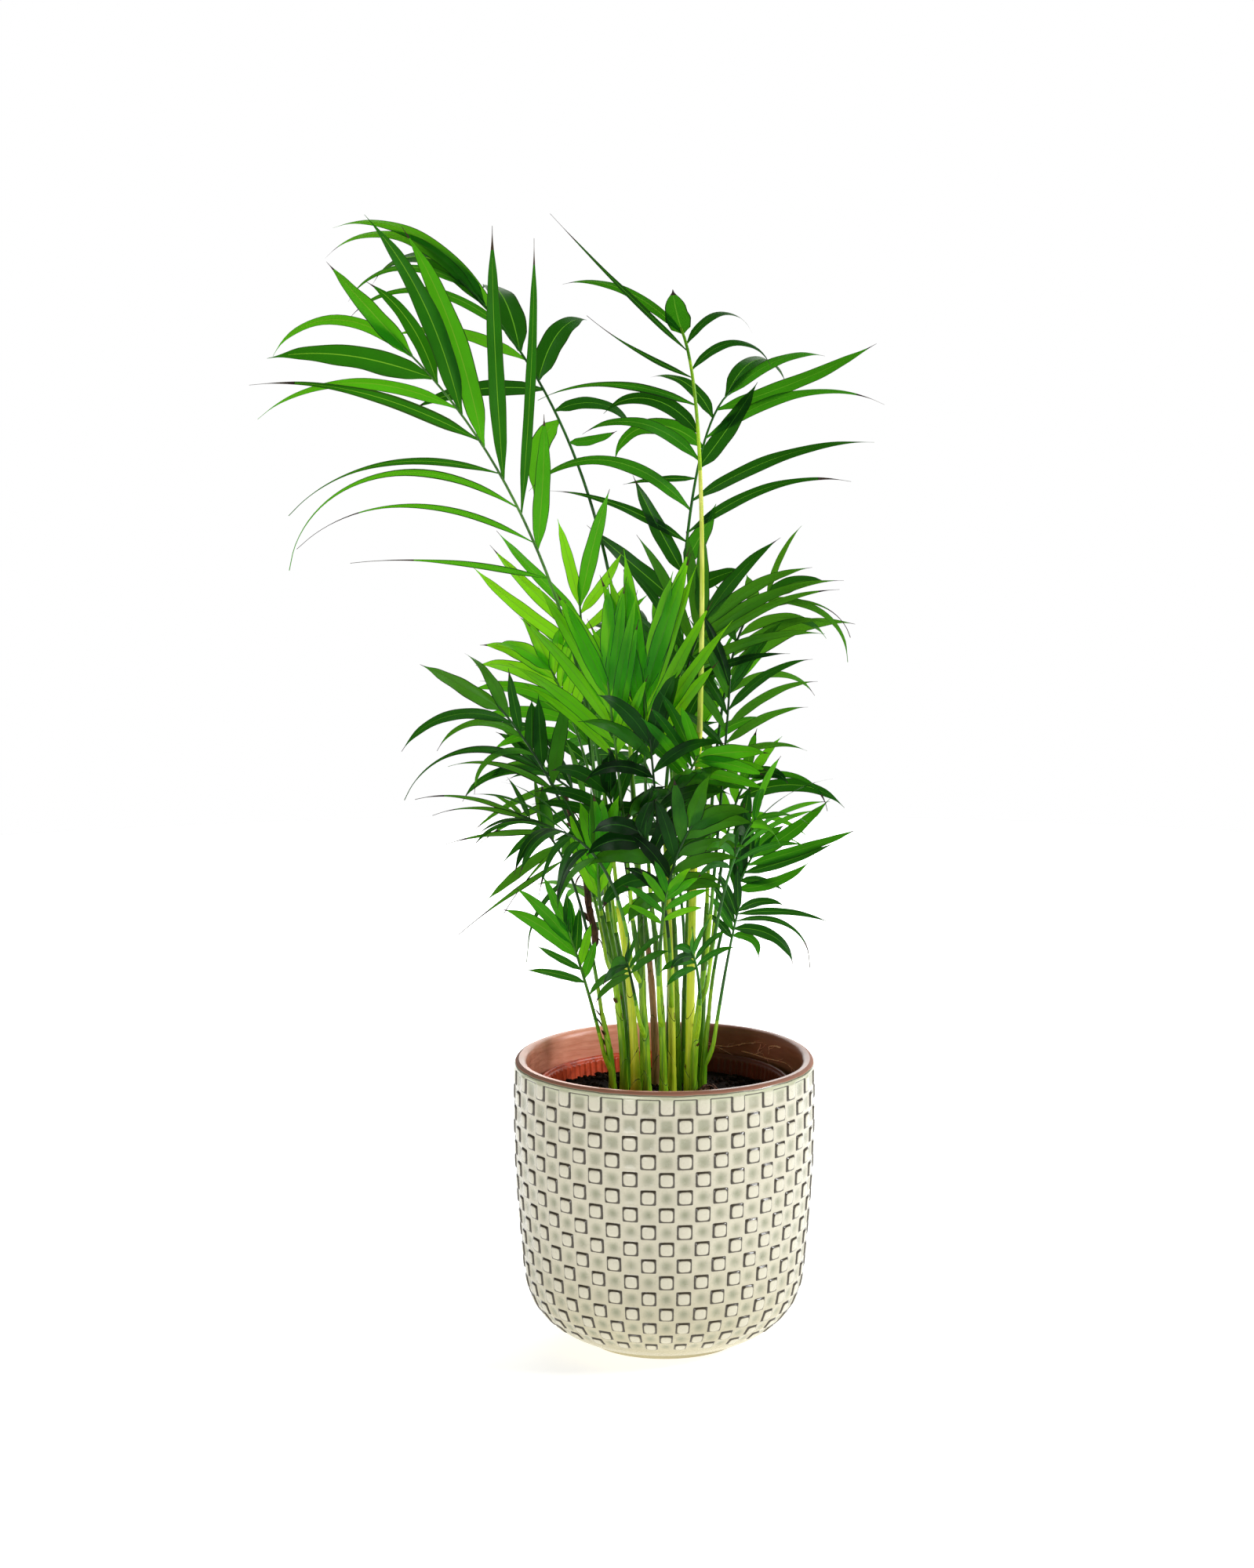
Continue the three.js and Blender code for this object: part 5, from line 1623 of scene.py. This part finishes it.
@dataclass
class Soil:
    """Dark crumbly soil, heaped a little round the stems."""

    low: float = 10.8
    foot: float = 46.1
    edge: float = 63.3
    edge_height: float = 133.5
    heap: Pair = (23.5, -21)
    heap_reach: float = 8
    heap_height: float = 9
    rings: int = 64
    columns: int = 200
    crumbs: int = 900
    crumb_sizes: Pair = (0.5, 2.0)
    bark_from: float = 0.86         # wobble over which a crumb is bark

    def height(self, x: float, y: float) -> float:
        """The soil's surface at a place.

        Args:
            x: Distance to the right.
            y: Distance to the back.

        Returns:
            Its height.
        """
        base = between((SOIL_TOP - 0.2, self.edge_height), float(ease(40, 62, math.hypot(x, y))))
        lump = noise.noise(Vector((x * 0.11, y * 0.11, 0.3)))
        crumb = noise.noise(Vector((x * 0.42, y * 0.42, 3.7)))
        off = (x - self.heap[0]) ** 2 + (y - self.heap[1]) ** 2
        heap = math.exp(-off / self.heap_reach ** 2)
        return base + 1.3 * lump + 0.8 * crumb + self.heap_height * heap

    def build(self) -> None:
        """Makes the soil's body and the crumbs that lie on it."""
        radii = np.linspace(self.edge, 0.01, self.rings)
        top = lathe(np.stack([radii, np.zeros(self.rings)], -1), self.columns)
        for point in top.reshape(-1, 3):
            point[2] = self.height(point[0], point[1])
        corners = [(0.01, self.low), (self.foot, self.low), (self.edge, self.edge_height - 2)]
        batch = Batch()
        batch.sheet(np.vstack([lathe(np.array(corners), self.columns), top]))
        bed = batch.build("soil_bed", SoilFinish("damp_soil", "2a1b13", "0b0604"))
        settle(bed, "potting_soil", "soil")
        lumps = Batch()
        golden = math.pi * (3 - math.sqrt(5))
        for k in range(self.crumbs):
            r = (self.edge - 2) * math.sqrt((k + 0.5) / self.crumbs)
            a = k * golden + 0.6 * wobble(k, 1, 1)
            x, y = r * math.cos(a), r * math.sin(a)
            size = between(self.crumb_sizes, (0.5 + 0.5 * wobble(k, 2, 1)) ** 3)
            middle = np.array([x, y, self.height(x, y) + size * 0.35])
            lumps.sheet(self._lump(k, middle, size), int(wobble(k, 3, 1) > self.bark_from))
        crumbs = lumps.build(
            "soil_crumbs",
            SoilFinish("soil_crumb", "35241a", "120b08"),
            SoilFinish("bark_crumb", "6b4a30", "35221a"),
        )
        settle(crumbs, "potting_soil")

    @staticmethod
    def _lump(k: int, middle: Array, size: float) -> Array:
        """A small uneven crumb.

        Args:
            k: The crumb's number.
            middle: Its middle.
            size: Its radius.

        Returns:
            Its points, rows x columns x 3.
        """
        polar = np.radians([1, 45, 90, 135, 179])[:, None]
        a = around(7)[None, :]
        rough = 1 + 0.3 * np.sin(3 * a + k) * np.sin(2 * polar + 2 * k)
        flat = [np.sin(polar) * np.cos(a), np.sin(polar) * np.sin(a), np.cos(polar) + 0 * a]
        stretch = np.array([1 + 0.4 * wobble(k, 4, 1), 1 + 0.4 * wobble(k, 5, 1), 0.75])
        return middle + (np.stack(flat, -1) * rough[..., None] * stretch * size)[::-1]


@dataclass
class Roots:
    """The crown of old roots at the front right, and hair roots dried onto the pot's wall."""

    clump: Pair = (23.5, -22)
    clump_reach: float = 11
    strands: int = 60
    wall: float = 73.1
    thick_hair: float = 0.36
    thin_hair: float = 0.16
    # Each hair's course on the wall, by azimuth in degrees and height at the knots, from its
    # thick end; thin hairs leave it at the forks.
    knots: Row = (0, 0.33, 0.67, 1)
    forks: Row = (0.3, 0.55, 0.8)
    hairs: tuple[tuple[Pair, ...], ...] = (
        ((71, 148), (69, 147), (63, 144.5), (54, 139.5)),
        ((70, 146), (61, 146.5), (52, 149), (42, 152.5)),
        ((29, 152.5), (33, 152), (38, 150.5), (38, 146.5)),
        ((43, 151), (44, 147.5), (45, 146), (47, 143.5)),
        ((54, 144.5), (40, 144), (27, 144.5), (13, 143.5)),
    )

    def build(self) -> None:
        """Makes the clump and the hairs."""
        soil, batch = Soil(), Batch()
        for k in range(self.strands):
            a = TURN * wobble(k, 1, 2)
            aside = np.array([1.4 * math.cos(a), math.sin(a), 0]) * 5 * wobble(k, 2, 2)
            middle = np.array([*self.clump, 0]) + aside
            reach = self.clump_reach * (0.5 + 0.4 * abs(wobble(k, 4, 2)))
            flat = spoke(a + 1.5 + wobble(k, 3, 2)) * reach
            rise = 1.2 + 2.6 * abs(wobble(k, 5, 2))
            ends = [middle - flat, middle, middle + flat]
            for point, up in zip(ends, (-0.8, rise, -0.8)):
                point[2] = soil.height(point[0], point[1]) + up
            ends[1][2] += rise
            self._strand(batch, Bend(*ends), 0.35 + 0.35 * abs(wobble(k, 6, 2)))
        clump = batch.build("root_clump", DryFinish("old_root", "8c6650", "422a1e"))
        settle(clump, "potting_soil")
        hairs = Batch()
        for k, course in enumerate(self.hairs):
            self._hair(hairs, k, np.array(course), self.thick_hair)
            for fork in self.forks:
                start = np.array([np.interp(fork, self.knots, part) for part in zip(*course)])
                side = 1 if wobble(k, 7, int(fork * 100)) > 0 else -1
                tip = start + np.array([-4.5, 3.0 * side + wobble(k, 8, int(fork * 100))])
                middle = (start + tip) / 2 + (0.4, -0.6 * side)
                self._hair(hairs, k + 20, np.array([start, middle, tip]), self.thin_hair)
        dried = hairs.build("hair_roots", DryFinish("hair_root", "ffc8ac", "e08c72"))
        settle(dried, "potting_soil")

    @staticmethod
    def _strand(batch: Batch, curve: Bend, radius: float) -> None:
        """Adds one root along a curve."""
        s = shares(14)
        radii = radius * np.sin(np.pi * np.clip(s, 0.02, 0.98)) ** 0.4
        batch.sheet(tube(curve.at(s), curve.along(s), radii, 6))

    def _hair(self, batch: Batch, k: int, course: Array, radius: float) -> None:
        """Adds one hair that follows the bore's wall through the course's azimuths and heights.

        Args:
            batch: What it is added to.
            k: The hair's number.
            course: Azimuth in degrees and height along it.
            radius: Its radius at its thick end.
        """
        s, knots = shares(26), shares(len(course))
        turn = np.radians(np.interp(s, knots, course[:, 0])) + 0.006 * np.sin(s * 11 + k)
        height = np.interp(s, knots, course[:, 1]) + 0.3 * np.sin(s * 8 + 2 * k)
        height = np.clip(height, 137, 152.5)
        centres = np.stack([self.wall * np.cos(turn), self.wall * np.sin(turn), height], -1)
        ways = unit(np.gradient(centres, axis=0))
        batch.sheet(tube(centres, ways, radius * (1 - 0.7 * s), 5))


# ---- stems and stalks
def curl(
    batch: Batch, start: Array, heading: Array, side: Array, length: float, mark: int
) -> None:
    """Adds one curled papery scale.

    Args:
        batch: What it is added to.
        start: Where it springs from.
        heading: The unit direction in which it sets off.
        side: The unit direction that its inner face looks.
        length: Its length.
        mark: Its finish.
    """
    s, c = shares(8), np.array([-1, -0.4, 0.4, 1])
    centres, ways = Midline.grown(start, heading, 1.1, length).smooth(s)
    across = np.cross(ways, square(side, heading))
    half = 0.22 * length * np.sin(np.pi * np.clip(s + 0.12, 0, 1)) ** 0.7
    grid = centres[:, None] + across[:, None] * (half[:, None] * c)[..., None]
    batch.sheet(grid + side * (0.5 * c ** 2)[None, :, None], mark, ring=False)


@dataclass
class Stems:
    """The clump of stems, each wrapped in leaf sheaths with slanting mouths."""

    sides: int = 16
    sheath: float = 0.16        # how far a sheath stands off what it wraps
    slant: float = 9.0
    spacing: float = 24
    tan_stem: str = "f"
    lime_stems: tuple[str, ...] = ("b", "l", "g")
    shaded_back_from: float = 3        # stems that stand farther back than this take the deeper green, as painted shade
    deep_from: float = 64       # and so do all but the lime ones above this height, darker higher up
    # Rows of the mesh at a sheath's mouth: how far above it they lie, and whether one is its seam.
    mouth: tuple[tuple[float, bool], ...] = (
        (-4, False), (-0.5, False), (0, True), (0.45, False), (1.1, False), (4, False),
    )
    # Dried scales that cling on: the stem, the height, the way they look and their length.
    tatters: tuple[tuple[str, float, float, float], ...] = (
        ("a", 22, 200, 5), ("a", 27, 150, 6), ("a", 33, 230, 5), ("a", 38, 170, 7),
        ("a", 44, 210, 5), ("l", 38, -40, 4), ("m", 30, -60, 4), ("q", 52, 240, 5),
        ("c", 48, 250, 6), ("o", 60, -30, 5),
    )

    def build(self) -> None:
        """Makes all stems as one piece."""
        batch = Batch()
        for index, (key, stem) in enumerate(STEMS.items()):
            self._stem(batch, index, key, stem)
        for key, height, azimuth, length in self.tatters:
            stem = STEMS[key]
            share = height / stem.height
            side = spoke(math.radians(azimuth))
            start = stem.curve().at(share) + side * (float(stem.radius(share)) - 0.2)
            curl(batch, start, unit(side * 0.5 + UP), side, length, SCAR)
        piece = batch.build("stems", *STEM_FINISHES)
        settle(piece, "green_stem", *(f"stem_{key}" for key in STEMS))

    def _seams(self, index: int, height: float) -> list[float]:
        """Heights of the sheaths' mouths on a stem.

        Args:
            index: The stem's number.
            height: Its height.

        Returns:
            The heights, from the soil up.
        """
        seams = []
        at = 11 + 7 * wobble(index, 1, 3)
        while at < height - 12:
            seams.append(at)
            at += self.spacing * (1 + 0.35 * wobble(index, len(seams), 4)) * (1 + at / 160)
        return seams

    def _places(self, seams: list[float], height: float) -> tuple[Array, Array]:
        """The rows of a stem's mesh: their heights, and whether each is a seam.

        Args:
            seams: Heights of the sheaths' mouths.
            height: The stem's height.

        Returns:
            The heights, and for each whether it is a seam's.
        """
        rows = [(p, False) for p in (-3.0, 0.0, 2.0, 5.0)]
        rows += [(at + off, seam) for at in seams for off, seam in self.mouth]
        filler = np.arange(8, height, 7.0)
        rows += [(p, False) for p in filler if min(abs(p - q) for q, _ in rows) > 4.5]
        rows = [row for row in sorted(rows) if row[0] <= height - 1] + [(height, False)]
        return np.array([p for p, _ in rows]), np.array([seam for _, seam in rows])

    def _stem(self, batch: Batch, index: int, key: str, stem: Stem) -> None:
        """Adds one stem: rows that follow the slant of each sheath's mouth.

        Args:
            batch: What it is added to.
            index: The stem's number.
            key: Its name.
            stem: Its sizes.
        """
        curve = stem.curve()
        seams = self._seams(index, stem.height)
        places, seamed = self._places(seams, stem.height)
        knots = [0.0, *seams, stem.height]
        phases = [TURN * wobble(index, 9, n) for n in range(1, len(seams) + 1)]
        a = around(self.sides)
        tilt = np.zeros((len(places), self.sides))
        for part, wave in ((math.cos, np.cos), (math.sin, np.sin)):
            tilts = [0.0, *(part(phase) for phase in phases), 0.0]
            tilt = tilt + np.interp(places, knots, tilts)[:, None] * wave(a)
        heights = places[:, None] + self.slant * 0.5 * tilt
        wraps = np.zeros(len(places))
        for at in seams:
            wraps += np.where(places <= at, ease(at - self.spacing, at, places), 0) * self.sheath
            wraps += 0.12 * np.exp(-((places - at + 1.5) / 1.5) ** 2)
        radius = stem.radius(np.clip(places / stem.height, 0, 1)) + wraps
        grid = np.zeros((len(places), self.sides, 3))
        for column, angle in enumerate(a):
            where = np.clip(heights[:, column] / stem.height, 0, 1)
            centres = curve.at(where)
            centres[:, 2] += np.minimum(heights[:, column], 0)
            across, up = frames(curve.along(where))
            out = across * np.cos(angle) + up * np.sin(angle)
            grid[:, column] = centres + out * radius[:, None]
        top = np.array([curve.at(1.0) + stem.axis * 0.4] * self.sides)[None]
        marks = self._marks(index, key, places, seamed)
        batch.sheet(np.vstack([grid, top]), np.vstack([marks, marks[-1:]]))

    def _marks(self, index: int, key: str, places: Array, seamed: Array) -> Array:
        """The finish of each face of a stem.

        Args:
            index: The stem's number.
            key: Its name.
            places: Heights of its rows.
            seamed: Whether each is a seam's.

        Returns:
            A number of a finish for each face.
        """
        # Stems farther back take the deeper green: painted shade.
        behind = STEMS[key].foot[1] > self.shaded_back_from
        lime = key in self.lime_stems
        kind = TAN if key == self.tan_stem else LIME if lime else DEEP_AND_SHADED if behind else 0
        marks = np.full((len(places) - 1, self.sides), kind)
        if kind != LIME:
            marks[places[:-1] > self.deep_from] = DEEP_AND_SHADED
        marks[seamed[:-1]] = SEAM
        for n in range(3):
            row = int(len(places) * (0.2 + 0.25 * n + 0.1 * wobble(index, n, 5)))
            marks[min(row, len(marks) - 1), int(8 + 7 * wobble(index, n, 6))] = SCAR
        return marks


@dataclass
class Stalks:
    """The petioles and rachises that carry the leaflets."""

    sides: int = 9
    steps: int = 34
    fullness: float = 0.98      # of the round stalk to the faceted one
    clasp: float = 14           # how far down its stem a side petiole's sheath reaches
    # Shares of the bare petiole at which its four greens end, and those of a sturdy pale one.
    fades: Row = (-1, 0.18, 0.33, 0.48)
    pale_fades: Row = (0.9, 1.3, 1.7, 2.1)

    def build(self, growth: Growth) -> None:
        """Makes all petioles and rachises as one piece.

        Args:
            growth: Where everything has grown.
        """
        batch = Batch()
        for name, frond in FRONDS.items():
            self._stalk(batch, frond, growth.courses[name])
        piece = batch.build("stalks", *STALK_FINISHES)
        settle(piece, "green_stem", *(f"frond_{name}" for name in FRONDS))

    def _stalk(self, batch: Batch, frond: Frond, curve: Bend) -> None:
        """Adds one stalk, rooted in its stem and drawn out to its last leaflets.

        Args:
            batch: What it is added to.
            frond: The frond.
            curve: Its middle line.
        """
        stem = STEMS[frond.stem]
        centres = curve.at(shares(self.steps))
        radii = frond.radius(shares(self.steps)) * self.fullness
        first, way = centres[0], curve.along(0.0)
        if frond.at < 1:
            root = stem.curve().at(max(0.02, frond.at - self.clasp / stem.height))
            knee = first - way * self.clasp * 0.5
            lead = Bend(root, knee, first).at(np.linspace(0, 0.9, 7))
            lead_radii = np.linspace(1.5, 1.0, 7) * radii[0]
        else:
            lead = first - way * np.array([4.0, 2.5, 1.2, 0.4])[:, None]
            lead_radii = radii[0] * np.array([0.95, 1.1, 1.08, 1.02])
        centres = np.vstack([lead, centres, centres[-1:] + curve.along(1.0) * 1.5])
        radii = np.concatenate([lead_radii, radii, [0.12]])
        grid = tube(centres, unit(np.gradient(centres, axis=0)), radii, self.sides)
        along = (np.arange(len(centres) - 1) - len(lead)) / self.steps / frond.bare
        mark = np.full(len(along), list(Tint).index(frond.tint))
        fades = self.pale_fades if frond.girth > 1.3 else self.fades
        for step in reversed(range(len(fades))):
            mark[along < fades[step]] = len(Tint) + step
        batch.sheet(grid, mark[:, None])


@dataclass
class DeadStalk:
    """The old dried stalk: shrunken, twisted and ridged, with a frayed tip."""

    foot: Triple = (-37, 8, 214)
    knee: Triple = (-42, 6, 255)
    tip: Triple = (-53, 2, 300)
    width: float = 4.2
    sides: int = 12
    steps: int = 46
    scales: int = 9

    def curve(self) -> Bend:
        """Its middle line."""
        return Bend(self.foot, self.knee, self.tip)

    def radius(self, share: Array) -> Array:
        """Its radius at a share of its length."""
        return self.width * (0.5 - 0.2 * share)

    def build(self) -> None:
        """Makes the stalk and a few peeling scales."""
        curve, s = self.curve(), shares(self.steps)
        ridge = 1 + 0.13 * np.cos(3 * around(self.sides)[None, :] + 7 * s[:, None])
        knot = 1 + 0.22 * np.exp(-((s[:, None] * 5 % 1 - 0.5) / 0.09) ** 2)
        radii = self.radius(s)[:, None] * 0.92 * ridge * knot
        radii[-1] *= 0.25
        radii[0] *= 0.5
        centres = curve.at(s)
        centres[:, 0] += 0.5 * np.sin(s * 19)
        centres[:, 1] += 0.5 * np.cos(s * 23)
        batch = Batch()
        batch.sheet(tube(centres, curve.along(s), radii, self.sides))
        for k in range(self.scales):
            share = 0.06 + 0.1 * k
            side = spoke(2.4 * k)
            heading = unit(side * 0.6 + curve.along(share) * (1 if k % 2 else -0.6))
            length = 6 + 3 * abs(wobble(k, 1, 7))
            curl(batch, curve.at(share) + side * 1.2, heading, side, length, 0)
        bark = batch.build("dead_stalk_bark", DryFinish("dry_stalk_bark", "6a4630", "2c1a12"))
        settle(bark, "dry_stalk", "dead_stalk")


class Foliage:
    """The leaflets, joined by the age of their fronds."""

    def build(self, growth: Growth) -> None:
        """Makes one piece for each age.

        Args:
            growth: Where everything has grown.
        """
        for tint in Tint:
            batch = Batch()
            for leaflet in growth.leaflets:
                if leaflet.tint is tint:
                    batch.sheet(*leaflet.sheet(), ring=False)
            name, slot = tint.value
            nodes = [f"frond_{frond.name}" for frond in FRONDS.values() if frond.tint is tint]
            settle(batch.build(name, *LEAF_FINISHES[tint], weld=False), slot, *nodes)


# ---- studio
@dataclass
class Studio:
    """A plain pale floor, soft light and the camera, in metres."""

    eye: Triple = (-0.020, -2.000, 0.624)
    pitch: float = 9.1
    lens: float = 87.7
    floor_reach: float = 1.7
    floor_drop: float = 0.0002      # of the floor below the pot's foot
    sky: float = 0.13
    # Each lamp: its place, what it looks at, its width, its strength and its colour.
    lamps: tuple[tuple[Triple, Triple, float, float, Triple], ...] = (
        ((1.9, -0.25, 1.15), (0, 0, 0.2), 0.6, 32.5, (0.98, 0.99, 1.0)),
        ((-0.8, -1.7, 0.3), (0, 0, 0.2), 0.6, 10.2, (1.0, 0.98, 0.93)),
        ((0.2, 1.7, 0.9), (0, 0, 0.35), 1.8, 30, (1.0, 1.0, 0.97)),
    )

    def build(self) -> None:
        """Sets up the floor, the light and the camera."""
        scene = bpy.context.scene
        rings = lathe(np.array([(0.001, 0), (0.3, 0), (self.floor_reach, 0)]) / MM, 96)[::-1]
        batch = Batch()
        batch.sheet(rings)
        floor = batch.build("floor", FloorFinish(), weld=False)
        floor.location = (0, 0, -self.floor_drop)
        floor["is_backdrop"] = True
        scene.world = self._sky()
        for number, (place, target, width, strength, colour) in enumerate(self.lamps):
            data = bpy.data.lights.new(f"lamp_{number}", "AREA")
            data.size, data.energy, data.color = width, strength, colour
            lamp = bpy.data.objects.new(data.name, data)
            lamp.location = place
            sight = Vector(target) - Vector(place)
            lamp.rotation_euler = sight.to_track_quat("-Z", "Y").to_euler()
            lamp.visible_camera = False
            scene.collection.objects.link(lamp)
        data = bpy.data.cameras.new("camera")
        data.lens = self.lens
        camera = bpy.data.objects.new("camera", data)
        camera.location = self.eye
        camera.rotation_euler = (math.radians(90 - self.pitch), 0, 0)
        scene.collection.objects.link(camera)
        scene.camera = camera
        scene.view_settings.view_transform = "Standard"

    def _sky(self) -> bpy.types.World:
        """Even light from all round, before a white backdrop.

        Returns:
            The world.
        """
        s = Shader(bpy.data.worlds.new("studio"))
        white = (1, 1, 1, 1)
        even, backdrop = (
            s.node("ShaderNodeBackground", None, {"Color": white, "Strength": strength})
            for strength in (self.sky, 1.0)
        )
        seen = s.node("ShaderNodeLightPath", output="Is Camera Ray")
        either = s.node("ShaderNodeMixShader", None, {0: seen, 1: even, 2: backdrop})
        s.node("ShaderNodeOutputWorld", None, {"Surface": either})
        return s.owner


def write_sizes() -> None:
    """Writes the box of the solids and that of the dressed plant, for comparing."""
    boxes = {"cad": CAD_BOX, "visual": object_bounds()}
    plain = {name: [[float(x) for x in corner] for corner in box] for name, box in boxes.items()}
    log.info("sizes: %s", plain)


def main() -> None:
    """Builds the studio, the pots and the plant, in that order."""
    logging.basicConfig(level=logging.INFO, format="%(name)s %(message)s")
    for part in (Studio(), CoverPot(), InnerPot(), Soil(), Roots()):
        part.build()
    growth = Growth()
    log.info("grown: %d stalks, %d leaflets", len(growth.courses), len(growth.leaflets))
    Stems().build()
    Stalks().build(growth)
    Foliage().build(growth)
    DeadStalk().build()
    bpy.context.view_layer.update()
    write_sizes()


if __name__ == "__main__":
    main()
